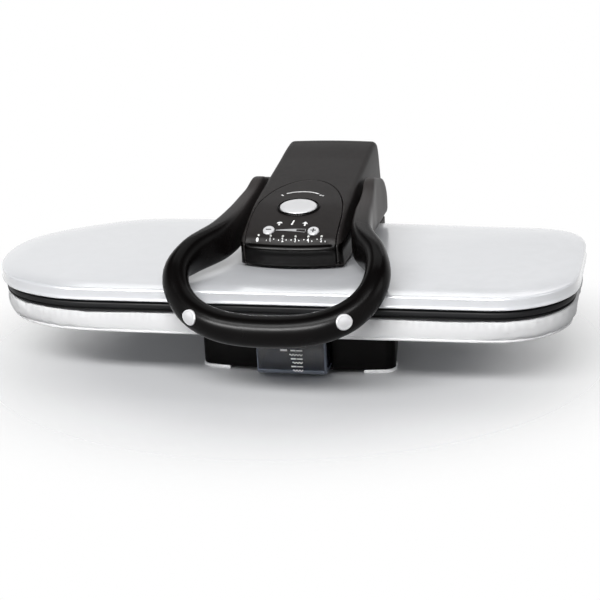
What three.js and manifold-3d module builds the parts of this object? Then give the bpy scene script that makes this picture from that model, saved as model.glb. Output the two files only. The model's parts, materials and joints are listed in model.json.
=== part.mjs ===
// Steam ironing press, closed, in millimetres.
// X runs along the board, Y runs back towards the hinge and Z is up.
// The model is drawn about the arm's middle plane and the board's centre line, and is
// moved at the end so that its origin lies under the middle of its box, on the table.
import * as THREE from "three";
import { mergeVertices } from "three/addons/utils/BufferGeometryUtils.js";
import Module from "manifold-3d";

const wasm = await Module();
wasm.setup();

// Fits shared by all pieces
const gap = 0.3; // between pieces that touch
const runningGap = 0.5; // around pieces that turn or slide
const overrun = 4; // how far a cutting body runs past a face
const weldDistance = 1e-4;

// Board and shoe in plan
const boardLength = 652;
const boardWidth = 264;
const noseLength = 147;
const armOffset = 19.6; // the arm stands this far from the board's middle, towards the square end

// Base
const footHeight = 3.9;
const footWidth = 6;
const footProud = 0.8;
const footRunAlongFront = 33;
const footRunAlongSide = 27;
const rearFootRadius = 9;
const baseHeight = 54;
const baseWall = 3;
const baseFrontHalfWidth = 108;
const baseRearHalfWidth = 76;
const baseFrontBow = 9;
const baseFrontCornerRadius = 12;
const baseRearCornerRadius = 22;
const baseDepth = 263;
const bottomPlateThickness = 2;
const screwHeadRadius = 3.6;
const screwHeadHeight = 1.6;
const screwShankRadius = 1.8;
const screwLength = 12;
const screwBossRadius = 5;

// Water tank
const tankHalfWidth = 38.9;
const tankProud = 19; // in front of the base's middle
const tankDepth = 103;
const tankHeight = 45;
const tankWall = 2;
const tankCornerRadius = 4;
const tankTravelShare = 1;
const bayWall = 1.5;
const lidThickness = 2.4;
const lidDrop = 2; // the lid lies this far below the tank's edge
const fillerRadius = 6.5;
const fillerSetback = 11; // filler centre, behind the tank's front
const capProud = 1.6;
const capFlange = 1.4;
const valveRadius = 4;
const valveLength = 9;
const valveHeight = 9; // above the tank's underside

// Pump, hose and power board in the base
const pumpRadius = 14;
const pumpLength = 42;
const pumpNozzleRadius = 3;
const pumpNozzleLength = 10;
const pumpCradleHalfWidth = 10;
const hoseRadius = 3.4;
const hoseHoleGap = 2.4;
const boardThickness = 1.6;
const powerBoardSideGap = 6; // between the power board and the base's side wall
const powerBoardFrontGap = 1; // between the power board and the front screw's boss
const powerBoardDepth = 90;
const powerBoardStandoff = 6;
const standoffRadius = 3;

// Cord gland in the back wall
const glandX = -48;
const glandHeight = 26;
const glandRadius = 8;
const glandFlangeRadius = 11;
const glandFlangeThickness = 2.4;
const glandProud = 6;
const glandBoreRadius = 3.9;

// Board
const supportHeight = 7.2;
const supportHalfLength = 78;
const supportWidth = 24;
const supportSetback = 28; // middle of the front support, behind the base's front
const supportRearY = 88;
const trayThickness = 2;
const trayRimDepth = 2.4;
const trayRimWidth = 3;
const padInset = 4;
const padHeight = 24.9;
const padSeat = 9.6; // how far the pad reaches in under its edge, round the tray
const padDrawIn = 5;
const padRoll = 11;
const padCrown = 0.7;

// Shoe
const pressGap = 0.4;
const rimInset = 4.5;
const rimWidth = 9;
const rimHeight = 12.4;
const heatingPlateThickness = 5;
const steamHoleRadius = 2.2;
const steamHolePitchX = 45;
const steamHolePitchY = 55;
const steamHoleColumns = 4; // on each side of the middle one
const steamHoleRows = 1; // on each side of the middle one
const elementRadius = 3.5;
const elementInset = 70;
const elementGapHalfWidth = 26;
const chamberHalfWidth = 36;
const chamberFrontY = -20;
const chamberRearY = 38;
const chamberHeight = 10;
const chamberInletRadius = 5;
const thermostatRadius = 8;
const thermostatHeight = 7;
const thermostatX = 78;
const coverHeight = 15.4;
const coverWall = 2.6;
const coverEdgeRadius = 7;
const coverEdgeAngles = [30, 60, 90];
const coverSideLean = 0.4;
const coverLipWidth = 9;
const coverLipThickness = 2;
const coverCrown = 1;
const matThickness = 2.6;
const matInset = 12;

// Hanger that carries the shoe
const hangerHalfWidth = 52;
const hangerHalfDepth = 34;
const hangerPlateThickness = 4;
const hangerClearance = 1.2; // above the steam chamber
const hangerPostRadius = 5;
const uprightHalfWidth = 16;
const uprightHalfDepth = 20;
const uprightOpeningGap = 2;
const hoseOpening = 14; // the openings reach this much further back for the hose
const boltSpacing = 26;
const boltRadius = 3.2;
const boltHeadRadius = 5.6;
const boltHeadHeight = 3.6;
const boltLength = 12;

// Arm housing
const armGap = 4.3; // above the shoe cover
const housingFrontY = -70;
const housingRearY = 187;
const lipHeight = 19; // lip above the housing's lower edge
const topRise = 60; // rear top above the lip
const frontUndercut = 4;
const housingTopHalfWidth = 52;
const housingBottomHalfWidth = 57;
const housingWall = 2.6;
const housingEdgeRadius = 6;
const housingBow = 10;
const housingBowFadeY = 30;
const housingCrown = 1.2;
const skirtDrop = 12; // the side walls reach this much lower behind the board
const skirtFrontY = 138;
const skirtRearCut = 6;
const panThickness = 2;
const panRearY = 140;
const panBossRadius = 4;

// Hinge and arm frame
const hingeY = 168;
const hingeRise = 6; // hinge axis above the housing's front lower edge
const hingePinRadius = 5;
const hingePinHalfLength = 45;
const knuckleRadius = 15;
const knuckleHalfWidth = 28;
const outerKnuckleInner = 36;
const outerKnuckleOuter = 47;
const knuckleWall = 2.4;
const earThickness = 4;
const earInner = 21;
const earRadius = 11;
const bracketPlateThickness = 3;
const springWireRadius = 1.1;
const springTurns = 4.5;
const springPitch = 3.6;
const towerHalfWidth = 57;
const towerFrontY = 148;
const towerRearY = 197;
const towerDrop = 6.5; // tower's top below the housing's skirt
const towerWall = 3;
const towerCornerRadius = 10;
const framePlateInner = 30;
const framePlateThickness = 3;
const frameRise = 5; // underside of the frame above the housing's front lower edge
const frameWebThickness = 3;
const frameFrontY = -45;
const frameFrontHeight = 12;
const frameRearY = 149.5;

// Handle
const pivotY = 118;
const pivotRise = 25; // pivot above the housing's front lower edge
const paddleMiddleY = 95;
const paddleMiddleRise = 30; // middle of the paddle above the housing's front lower edge
const gripReach = 275; // from the middle of the paddle forwards to the middle of the grip
const gripDrop = 62; // from the middle of the paddle down to the middle of the grip
const gripHalfSpan = 107;
const gripHalfThickness = 14;
const gripHalfHeight = 17;
const paddleHalfHeight = 30;
const paddleHalfThickness = 6.6;
const paddleGap = 1.2; // between the paddle and the housing's widest line
const shaftRadius = 5;
const shaftSeat = 7; // how far the shaft reaches into a paddle
const camHalfWidth = 9;
const camRadius = 8;
const camReach = 11.5;
const camHalfNose = 2;
const detentHalfWidth = 8;
const detentThickness = 1.4;
const detentFrontY = 48;
const detentRearY = 118;

// Controls
const powerHalfWidth = 20.5;
const powerHalfDepth = 15;
const powerY = -12;
const powerCap = 5;
const powerProud = 1.8;
const stemRadius = 3;
const stepperRadius = 6.2;
const stepperX = 24.5;
const stepperY = -53.5;
const stepperCap = 4.5;
const stepperProud = 1.1;
const buttonFlange = 1.4;
const buttonFlangeThickness = 1.4;
const buttonFlangeDrop = 1.4;
const buttonTravel = 1.2;
const lampCount = 6;
const lampHalfSpan = 34.5;
const lampY = -60.8;
const lampRadius = 1.2;
const lampBarRadius = 1.2;
const lampBarDepth = 9;
const controlBoardHalfWidth = 36;
const controlBoardDepth = 66;
const panelCut = 1.8; // the panel's seam lies this far inside the housing's wall
const archTopY = 57;
const archShoulderY = -35;
const steamButtonRadius = 8.5;
const steamButtonDepth = 7;
const steamButtonProud = 1;
const steamButtonTravel = 2.5;
const steamButtonX = 75; // from the middle of the grip
const steamButtonLift = 8; // degrees above the level outward direction

// Fineness of round shapes
const cornerSteps = 6;
const roundSides = 14;
const smallSides = 8;
const hoseSides = 8;
const gripSides = 14;
const gripRows = 18; // on each side of the middle one

// Levels, from the table up
const shellZ = footHeight + gap;
const plateZ = shellZ;
const plateTopZ = plateZ + bottomPlateThickness;
const deckZ = shellZ + baseHeight;
const supportZ = deckZ + gap;
const trayZ = supportZ + supportHeight + gap;
const trayTopZ = trayZ + trayThickness;
const padZ = trayZ - trayRimDepth - gap;
const padTopZ = padZ + padHeight;
const shoeZ = padTopZ + pressGap;
const heatingTopZ = shoeZ + heatingPlateThickness;
const coverZ = shoeZ + rimHeight + gap;
const coverEdgeZ = coverZ + coverHeight;
const coverTopZ = coverEdgeZ + coverCrown;
const housingZ = coverTopZ + armGap;
const lipZ = housingZ + lipHeight;
const housingTopZ = lipZ + topRise;
const panTopZ = housingZ + panThickness;
const frameZ = housingZ + frameRise;
const webTopZ = frameZ + frameWebThickness;
const hingeZ = housingZ + hingeRise;
const pivotZ = housingZ + pivotRise;
const paddleMiddleZ = housingZ + paddleMiddleRise;
const skirtZ = housingZ - skirtDrop;
const towerTopZ = skirtZ - towerDrop;
const chamberZ = heatingTopZ + gap;
const chamberTopZ = chamberZ + chamberHeight;
const hangerZ = chamberTopZ + hangerClearance;
const hangerTopZ = hangerZ + hangerPlateThickness;
const tankZ = plateTopZ + gap;
const tankTopZ = tankZ + tankHeight;
const baseRearY = towerRearY;
const baseFrontY = baseRearY - baseDepth;
const tankFrontY = baseFrontY - tankProud;
const tankRearY = tankFrontY + tankDepth;
const bayHalfWidth = tankHalfWidth + runningGap + gap;
const bayRearY = tankRearY + valveLength / 2 + runningGap;
const lidTopZ = tankTopZ - lidDrop;
const fillerY = tankFrontY + fillerSetback;
const valveZ = tankZ + valveHeight;

// Places along the board
const boardMiddleX = -armOffset;
const squareEndX = boardMiddleX + boardLength / 2;
const noseTipX = boardMiddleX - boardLength / 2;
const noseRootX = noseTipX + noseLength;
const supportFrontY = baseFrontY + supportSetback;

// Solids and cuts
function toSolid(geometry) {
  const bare = geometry.clone();
  bare.deleteAttribute("normal");
  bare.deleteAttribute("uv");
  const welded = mergeVertices(bare, weldDistance);
  return new wasm.Manifold(
    new wasm.Mesh({
      numProp: 3,
      vertProperties: new Float32Array(welded.attributes.position.array),
      triVerts: new Uint32Array(welded.index.array),
    }),
  );
}

function toGeometry(solid) {
  const mesh = solid.getMesh();
  const geometry = new THREE.BufferGeometry();
  geometry.setAttribute("position", new THREE.BufferAttribute(new Float32Array(mesh.vertProperties), 3));
  geometry.setIndex(new THREE.BufferAttribute(new Uint32Array(mesh.triVerts), 1));
  const faceted = geometry.toNonIndexed();
  faceted.computeVertexNormals();
  return faceted;
}

function cut(solid, ...cutters) {
  return cutters.reduce((left, cutter) => left.subtract(cutter), solid);
}

function join(solid, ...others) {
  return others.reduce((whole, other) => whole.add(other), solid);
}

// Solids from plain shapes
function box(x0, x1, y0, y1, z0, z1) {
  const geometry = new THREE.BoxGeometry(x1 - x0, y1 - y0, z1 - z0);
  geometry.translate((x0 + x1) / 2, (y0 + y1) / 2, (z0 + z1) / 2);
  return toSolid(geometry);
}

function rod(from, to, radius, sides = roundSides) {
  const along = new THREE.Vector3().subVectors(to, from);
  const geometry = new THREE.CylinderGeometry(radius, radius, along.length(), sides);
  const turn = new THREE.Quaternion().setFromUnitVectors(
    new THREE.Vector3(0, 1, 0),
    along.clone().normalize(),
  );
  geometry.applyQuaternion(turn);
  geometry.translate((from.x + to.x) / 2, (from.y + to.y) / 2, (from.z + to.z) / 2);
  return toSolid(geometry);
}

function post(x, y, z0, z1, radius, sides = roundSides) {
  return rod(new THREE.Vector3(x, y, z0), new THREE.Vector3(x, y, z1), radius, sides);
}

function crossRod(y, z, x0, x1, radius, sides = roundSides) {
  return rod(new THREE.Vector3(x0, y, z), new THREE.Vector3(x1, y, z), radius, sides);
}

// A flat outline pulled up from z0 to z1
function slab(outline, z0, z1, holes = []) {
  const shape = new THREE.Shape(outline);
  holes.forEach((hole) => shape.holes.push(new THREE.Path(hole)));
  const geometry = new THREE.ExtrudeGeometry(shape, { depth: z1 - z0, bevelEnabled: false });
  geometry.translate(0, 0, z0);
  return toSolid(geometry);
}

// A side view outline, points (y, z), pulled across from x0 to x1
function sideSlab(outline, x0, x1) {
  const geometry = new THREE.ExtrudeGeometry(
    new THREE.Shape(outline),
    { depth: x1 - x0, bevelEnabled: false },
  );
  geometry.applyMatrix4(new THREE.Matrix4().set(0, 0, 1, x0, 1, 0, 0, 0, 0, 1, 0, 0, 0, 0, 0, 1));
  return toSolid(geometry);
}

// A skin over rings of points, closed by a fan at both ends
function loft(rings) {
  const positions = [];
  const count = rings[0].length;
  const quad = (a, b, c, d) => positions.push(a, b, c, a, c, d);
  for (let k = 1; k < rings.length; k += 1) {
    for (let i = 0; i < count; i += 1) {
      const j = (i + 1) % count;
      quad(rings[k - 1][i], rings[k - 1][j], rings[k][j], rings[k][i]);
    }
  }
  const fan = (ring, reversed) => {
    const middle = ring.reduce((sum, p) => sum.add(p), new THREE.Vector3()).divideScalar(count);
    for (let i = 0; i < count; i += 1) {
      const j = (i + 1) % count;
      positions.push(middle, reversed ? ring[j] : ring[i], reversed ? ring[i] : ring[j]);
    }
  };
  fan(rings[0], true);
  fan(rings[rings.length - 1], false);
  let volume = 0;
  for (let i = 0; i < positions.length; i += 3) {
    volume += positions[i].dot(new THREE.Vector3().crossVectors(positions[i + 1], positions[i + 2]));
  }
  if (volume < 0) positions.reverse();
  const geometry = new THREE.BufferGeometry().setFromPoints(positions);
  return toSolid(geometry);
}

// A round tube along a smooth line through points
function tube(points, radius, steps, sides = 8) {
  const curve = new THREE.CatmullRomCurve3(points);
  const section = new THREE.Shape(circle(0, 0, radius, sides));
  const geometry = new THREE.ExtrudeGeometry(section, { steps, bevelEnabled: false, extrudePath: curve });
  return toSolid(geometry);
}

// Outlines
function circle(x, y, radius, sides = roundSides) {
  const points = [];
  for (let i = 0; i < sides; i += 1) {
    const angle = (2 * Math.PI * i) / sides;
    points.push(new THREE.Vector2(x + radius * Math.cos(angle), y + radius * Math.sin(angle)));
  }
  return points;
}

function arc(x, y, radiusX, radiusY, fromDegrees, toDegrees, steps) {
  const points = [];
  for (let i = 0; i <= steps; i += 1) {
    const angle = THREE.MathUtils.degToRad(fromDegrees + ((toDegrees - fromDegrees) * i) / steps);
    points.push(new THREE.Vector2(x + radiusX * Math.cos(angle), y + radiusY * Math.sin(angle)));
  }
  return points;
}

function rectangle(x0, x1, y0, y1) {
  return [
    new THREE.Vector2(x0, y0),
    new THREE.Vector2(x1, y0),
    new THREE.Vector2(x1, y1),
    new THREE.Vector2(x0, y1),
  ];
}

function roundedRectangle(x0, x1, y0, y1, radius, steps = 4) {
  return [
    ...arc(x1 - radius, y0 + radius, radius, radius, -90, 0, steps),
    ...arc(x1 - radius, y1 - radius, radius, radius, 0, 90, steps),
    ...arc(x0 + radius, y1 - radius, radius, radius, 90, 180, steps),
    ...arc(x0 + radius, y0 + radius, radius, radius, 180, 270, steps),
  ];
}

// The board in plan, from its front edge round the square end and back to the front by way of the nose.
// Shares of half the length and half the width, measured from the middle.
const boardShares = [
  [0.732, -1],
  [0.802, -0.977],
  [0.866, -0.911],
  [0.922, -0.807],
  [0.964, -0.67],
  [0.991, -0.511],
  [1, -0.341],
  [1, 0.3],
  [0.995, 0.5],
  [0.976, 0.652],
  [0.945, 0.761],
  [0.901, 0.837],
  [0.845, 0.871],
  [0.686, 0.894],
  [0.459, 0.928],
  [0.183, 0.962],
  [-0.124, 0.987],
  [-0.4, 0.996],
  [-0.523, 0.99],
  [-0.599, 0.968],
  [-0.667, 0.92],
  [-0.728, 0.848],
  [-0.79, 0.758],
  [-0.848, 0.659],
  [-0.903, 0.545],
  [-0.949, 0.413],
  [-0.981, 0.258],
  [-0.998, 0.083],
  [-1, -0.091],
  [-0.989, -0.28],
  [-0.965, -0.458],
  [-0.929, -0.614],
  [-0.883, -0.746],
  [-0.83, -0.841],
  [-0.768, -0.915],
  [-0.698, -0.97],
  [-0.621, -0.996],
  [-0.538, -1],
];
const boardPlan = boardShares.map(
  ([along, across]) => new THREE.Vector2(boardMiddleX + (boardLength / 2) * along, (boardWidth / 2) * across),
);

function boardOutline(inset) {
  return insetOutline(boardPlan, boardPlan.map(() => inset));
}

function ringAt(outline, z) {
  return outline.map((p) => new THREE.Vector3(p.x, p.y, z));
}

// Rings that close over a board outline in a low crown
const crownShares = [[0.6, 0.64]];
const crownPeakShare = 0.12;

function crownRings(outline, z, rise) {
  const rings = crownShares.map(([spread, lift]) =>
    outline.map((p) => {
      const x = boardMiddleX + (p.x - boardMiddleX) * spread;
      return new THREE.Vector3(x, p.y * spread, z + rise * lift);
    }),
  );
  rings.push(
    outline.map((p) => {
      const x = boardMiddleX + (p.x - boardMiddleX) * crownPeakShare;
      return new THREE.Vector3(x, p.y * crownPeakShare, z + rise);
    }),
  );
  return rings;
}

// The base is bowed in front and narrows towards the hinge
function baseOutline(inset) {
  const front = [];
  const frontSpan = baseFrontHalfWidth - baseFrontCornerRadius;
  const cornerY = baseFrontY + baseFrontBow + baseFrontCornerRadius;
  for (let i = -cornerSteps; i <= cornerSteps; i += 1) {
    const share = i / cornerSteps;
    front.push(new THREE.Vector2(frontSpan * share, baseFrontY + inset + baseFrontBow * share * share));
  }
  const rearX = baseRearHalfWidth - baseRearCornerRadius;
  const rearY = baseRearY - baseRearCornerRadius;
  const frontRadius = baseFrontCornerRadius - inset;
  const rearRadius = baseRearCornerRadius - inset;
  return [
    ...front.slice(1, -1),
    ...arc(frontSpan, cornerY, frontRadius, frontRadius, -90, 0, cornerSteps / 2),
    ...arc(rearX, rearY, rearRadius, rearRadius, 0, 90, cornerSteps / 2),
    ...arc(-rearX, rearY, rearRadius, rearRadius, 90, 180, cornerSteps / 2),
    ...arc(-frontSpan, cornerY, frontRadius, frontRadius, 180, 270, cornerSteps / 2),
  ];
}

// Half the base's width at a place between its side corners
function baseHalfWidth(y) {
  const frontY = baseFrontY + baseFrontBow + baseFrontCornerRadius;
  const rearY = baseRearY - baseRearCornerRadius;
  const share = (y - frontY) / (rearY - frontY);
  return baseFrontHalfWidth + (baseRearHalfWidth - baseFrontHalfWidth) * share;
}

// Arm housing in side view
// Shares run from the lip to the rear wall, and from the lip's height to the rear top.
const toplineShares = [
  [0, 0],
  [0.005, 0.1],
  [0.0175, 0.183],
  [0.039, 0.255],
  [0.07, 0.317],
  [0.11, 0.385],
  [0.152, 0.45],
  [0.23, 0.55],
  [0.35, 0.638],
  [0.498, 0.733],
  [0.72, 0.867],
  [0.938, 1],
  [0.969, 0.977],
  [0.991, 0.915],
  [1, 0.83],
];
const housingLength = housingRearY - housingFrontY;
const topline = toplineShares.map(
  ([along, up]) => new THREE.Vector2(housingFrontY + housingLength * along, lipZ + topRise * up),
);

// Height of the housing's top over a place y in the middle plane
function toplineHeight(y) {
  const next = Math.max(1, topline.findIndex((p) => p.x > y));
  const [a, b] = [topline[next - 1], topline[next]];
  return a.y + ((b.y - a.y) * (y - a.x)) / (b.x - a.x);
}

// Moves each edge of a closed outline inwards by its own distance
function insetOutline(outline, distances) {
  const count = outline.length;
  const edges = outline.map((a, i) => {
    const b = outline[(i + 1) % count];
    const along = b.clone().sub(a).normalize();
    const normal = new THREE.Vector2(-along.y, along.x);
    return { along, point: a.clone().addScaledVector(normal, distances[i]), normal };
  });
  return outline.map((corner, i) => {
    const before = edges[(i + count - 1) % count];
    const after = edges[i];
    const turn = before.along.cross(after.along);
    if (Math.abs(turn) < 1e-6) return corner.clone().addScaledVector(after.normal, distances[i]);
    const step = after.point.clone().sub(before.point).cross(after.along) / turn;
    return before.point.clone().addScaledVector(before.along, step);
  });
}

// Closed side view of the housing, moved inwards by inset except along its lower edge
function housingSide(inset, lowerZ) {
  const lower = [
    new THREE.Vector2(housingRearY, lowerZ),
    new THREE.Vector2(housingFrontY + frontUndercut, lowerZ),
  ];
  const outline = [...lower, ...topline].reverse();
  const distances = outline.map(() => inset);
  distances[outline.length - 2] = 0;
  return insetOutline(outline, distances);
}

function housingHalfWidth(z) {
  const share = (housingTopZ - z) / (housingTopZ - housingZ);
  return housingTopHalfWidth + (housingBottomHalfWidth - housingTopHalfWidth) * share;
}

// A point of the side view, carried out to a share of the half width
function housingPoint(side, widthShare, y, z, inset) {
  const fade = THREE.MathUtils.clamp((housingBowFadeY - y) / (housingBowFadeY - housingFrontY), 0, 1);
  const x = side * (housingHalfWidth(z) - inset) * widthShare;
  const bow = housingBow * fade * widthShare * widthShare;
  const top = z > lipZ ? housingCrown * widthShare * widthShare : 0;
  return new THREE.Vector3(x, y + bow, z - top);
}

const housingStationShares = [0, 0.38, 0.7];
const housingEdgeAngles = [0, 35, 65, 90];

function housingBody(inset, lowerZ) {
  const edgeShare = housingEdgeRadius / housingBottomHalfWidth;
  const stations = housingStationShares.map((share) => ({ share, edge: 0 }));
  housingEdgeAngles.forEach((degrees) => {
    const angle = THREE.MathUtils.degToRad(degrees);
    const share = 1 - edgeShare * (1 - Math.sin(angle));
    stations.push({ share, edge: housingEdgeRadius * (1 - Math.cos(angle)) });
  });
  const ring = (side, { share, edge }) =>
    housingSide(inset + edge, lowerZ).map((p) => housingPoint(side, share, p.x, p.y, inset));
  const left = stations.slice(1).reverse();
  return loft([...left.map((s) => ring(-1, s)), ...stations.map((s) => ring(1, s))]);
}

// A place on the housing's top, with its outward direction
function topPlace(x, y) {
  const z = toplineHeight(y);
  const share = Math.abs(x) / housingHalfWidth(z);
  const at = (s, yy) => housingPoint(Math.sign(x) || 1, s, yy, toplineHeight(yy), 0);
  const point = at(share, y);
  const along = at(share, y + powerHalfDepth / 2).sub(at(share, y - powerHalfDepth / 2));
  const across = new THREE.Vector3(1, 0, 0);
  const normal = new THREE.Vector3().crossVectors(across, along).normalize();
  return { point, normal };
}

// Turns a body drawn about the origin, pointing up Z, to stand at a place
function standAt(outline, from, to, place) {
  const geometry = new THREE.ExtrudeGeometry(
    new THREE.Shape(outline),
    { depth: to - from, bevelEnabled: false },
  );
  geometry.translate(0, 0, from);
  geometry.applyQuaternion(new THREE.Quaternion().setFromUnitVectors(new THREE.Vector3(0, 0, 1), place.normal));
  geometry.translate(place.point.x, place.point.y, place.point.z);
  return toSolid(geometry);
}

function ellipse(halfWidth, halfDepth, sides = 20) {
  return circle(0, 0, 1, sides).map((p) => new THREE.Vector2(p.x * halfWidth, p.y * halfDepth));
}

// Handle loop
// From the middle of the grip to its widest place.
// Shares of: half span, reach, drop, half thickness, half height.
const gripShares = [
  [0, 1, 1, 1, 1],
  [0.458, 0.985, 0.952, 1, 1],
  [0.748, 0.942, 0.806, 1, 0.97],
  [0.907, 0.895, 0.613, 1, 0.912],
  [0.981, 0.855, 0.427, 1, 0.882],
  [1, 0.804, 0.258, 0.964, 0.912],
];
// From there back to the end of the paddle. Shares of: way out from the paddle to the widest place, reach,
// drop, way from the paddle's thickness to the grip's, half height of the paddle, lean of the section.
const sideShares = [
  [0.834, 0.702, 0.161, 0.797, 0.65, 0.9],
  [0.336, 0.553, 0.073, 0.73, 0.7, 0.6],
  [0.147, 0.389, 0.008, 0.459, 0.71, 0.3],
  [0.1, 0.273, -0.024, 0.257, 0.74, 0.1],
  [0.052, 0.193, -0.056, 0.12, 0.79, 0],
  [0.005, 0.12, -0.056, 0.054, 1, 0],
  [0, 0.011, 0.008, 0, 0.883, 0],
  [0, -0.0945, 0.0855, 0, 0.7, 0],
  [0, -0.1455, 0.226, -0.08, 0.4, 0],
  [0, -0.169, 0.298, -0.3, 0.16, 0],
];
const paddleX = housingBottomHalfWidth + paddleGap + paddleHalfThickness;
const gripSquareness = 2;
const paddleSquareness = 3.4;

// Rows of the handle from its left end to its right end, each with a centre and half sizes
function handleRows(swell) {
  const rightSide = [
    ...gripShares.map(([out, reach, drop, thick, tall]) => ({
      centre: new THREE.Vector3(
        gripHalfSpan * out,
        paddleMiddleY - gripReach * reach,
        paddleMiddleZ - gripDrop * drop,
      ),
      size: new THREE.Vector3(gripHalfThickness * thick, gripHalfHeight * tall, 1),
    })),
    ...sideShares.map(([out, reach, drop, thick, tall, lean]) => ({
      centre: new THREE.Vector3(
        paddleX + (gripHalfSpan - paddleX) * out,
        paddleMiddleY - gripReach * reach,
        paddleMiddleZ - gripDrop * drop,
      ),
      size: new THREE.Vector3(
        paddleHalfThickness + (gripHalfThickness - paddleHalfThickness) * thick,
        paddleHalfHeight * tall,
        lean,
      ),
    })),
  ];
  const leftSide = rightSide.slice(1).reverse();
  const mirrored = leftSide.map(({ centre, size }) => ({ centre: centre.clone().setX(-centre.x), size }));
  const knots = [...mirrored, ...rightSide];
  const centres = new THREE.CatmullRomCurve3(knots.map((knot) => knot.centre));
  const sizes = new THREE.CatmullRomCurve3(knots.map((knot) => knot.size));
  const rows = [];
  for (let i = -gripRows; i <= gripRows; i += 1) {
    const place = (i + gripRows) / (2 * gripRows);
    const size = sizes.getPoint(place);
    const lean = THREE.MathUtils.clamp(size.z, 0, 1);
    rows.push({
      centre: centres.getPoint(place),
      thick: size.x + swell,
      tall: size.y + swell,
      lean,
      squareness: gripSquareness + (paddleSquareness - gripSquareness) * (1 - lean),
    });
  }
  return rows;
}

function handleFrame(before, row, after) {
  const along = after.centre.clone().sub(before.centre).normalize();
  const up = new THREE.Vector3(0, 0, 1).addScaledVector(along, -along.z * row.lean).normalize();
  const out = new THREE.Vector3().crossVectors(along, up).normalize();
  return { along, up, out };
}

function superPower(value, squareness) {
  return Math.sign(value) * Math.abs(value) ** (2 / squareness);
}

function handleBody(swell) {
  const rows = handleRows(swell);
  const rings = rows.map((row, k) => {
    const frame = handleFrame(rows[Math.max(0, k - 1)], row, rows[Math.min(rows.length - 1, k + 1)]);
    return circle(0, 0, 1, gripSides).map((p) =>
      row.centre
        .clone()
        .addScaledVector(frame.out, row.thick * superPower(p.x, row.squareness))
        .addScaledVector(frame.up, row.tall * superPower(p.y, row.squareness)),
    );
  });
  return loft(rings);
}

// Where a steam button sits on the grip, and which way it faces
function steamPlace(side) {
  const rows = handleRows(0);
  const k = rows.findIndex((row) => row.centre.y < housingFrontY && row.centre.x > side * steamButtonX);
  const [a, b] = [rows[k - 1], rows[k]];
  const frame = handleFrame(a, a, b);
  const lift = THREE.MathUtils.degToRad(steamButtonLift);
  const outward = frame.out.clone().multiplyScalar(-Math.sign(frame.out.y));
  const up = frame.up.clone().multiplyScalar(Math.sign(frame.up.z));
  const normal = outward.multiplyScalar(Math.cos(lift)).addScaledVector(up, Math.sin(lift)).normalize();
  const share = (side * steamButtonX - a.centre.x) / (b.centre.x - a.centre.x);
  const point = a.centre.clone().lerp(b.centre, share).addScaledVector(normal, a.thick);
  return { point, normal };
}

// Scene graph: one group for each body that moves
const press = new THREE.Group();
const base = new THREE.Group();
const tank = new THREE.Group();
const arm = new THREE.Group();
const handle = new THREE.Group();
press.add(base);
base.add(tank, arm);
arm.add(handle);

const finishes = {
  whitePaint: { color: 0xe3e4e7, roughness: 0.25, metalness: 0 },
  blackSatin: { color: 0x2c2a29, roughness: 0.45, metalness: 0 },
  blackGloss: { color: 0x0f0e0e, roughness: 0.22, metalness: 0 },
  rimGrey: { color: 0x3c3c3e, roughness: 0.5, metalness: 0 },
  cloth: { color: 0xf0f0f1, roughness: 0.95, metalness: 0 },
  paleGrey: { color: 0xd8d8d8, roughness: 0.35, metalness: 0 },
  buttonSilver: { color: 0xd6d7d8, roughness: 0.35, metalness: 0 },
  steel: { color: 0x9b9da0, roughness: 0.35, metalness: 1 },
  aluminium: { color: 0xb9bbbe, roughness: 0.3, metalness: 1 },
  smokedClear: { color: 0x4d5868, roughness: 0.1, metalness: 0, transparent: true, opacity: 0.5 },
  rubber: { color: 0x1b1b1b, roughness: 0.8, metalness: 0 },
  hose: { color: 0xc9c7c0, roughness: 0.6, metalness: 0 },
  circuit: { color: 0x1f5c3a, roughness: 0.6, metalness: 0 },
  mat: { color: 0xb9a37a, roughness: 0.95, metalness: 0 },
  lamp: { color: 0xf4f4f0, roughness: 0.3, metalness: 0 },
};

function add(group, name, solid, finish) {
  const mesh = new THREE.Mesh(toGeometry(solid), new THREE.MeshStandardMaterial(finishes[finish]));
  mesh.name = name;
  group.add(mesh);
}

// Base shell, bottom plate, feet and screws
const screwPlaces = [
  [-1, -1],
  [1, -1],
  [-1, 1],
  [1, 1],
].map(([sideX, sideY]) => {
  const inFront = sideY < 0;
  const inset = baseWall + gap + screwBossRadius;
  return {
    x: sideX * ((inFront ? baseFrontHalfWidth : baseRearHalfWidth) - inset - screwBossRadius),
    y: inFront ? baseFrontY + baseFrontBow + inset + screwBossRadius : baseRearY - inset - screwBossRadius,
  };
});

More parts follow.
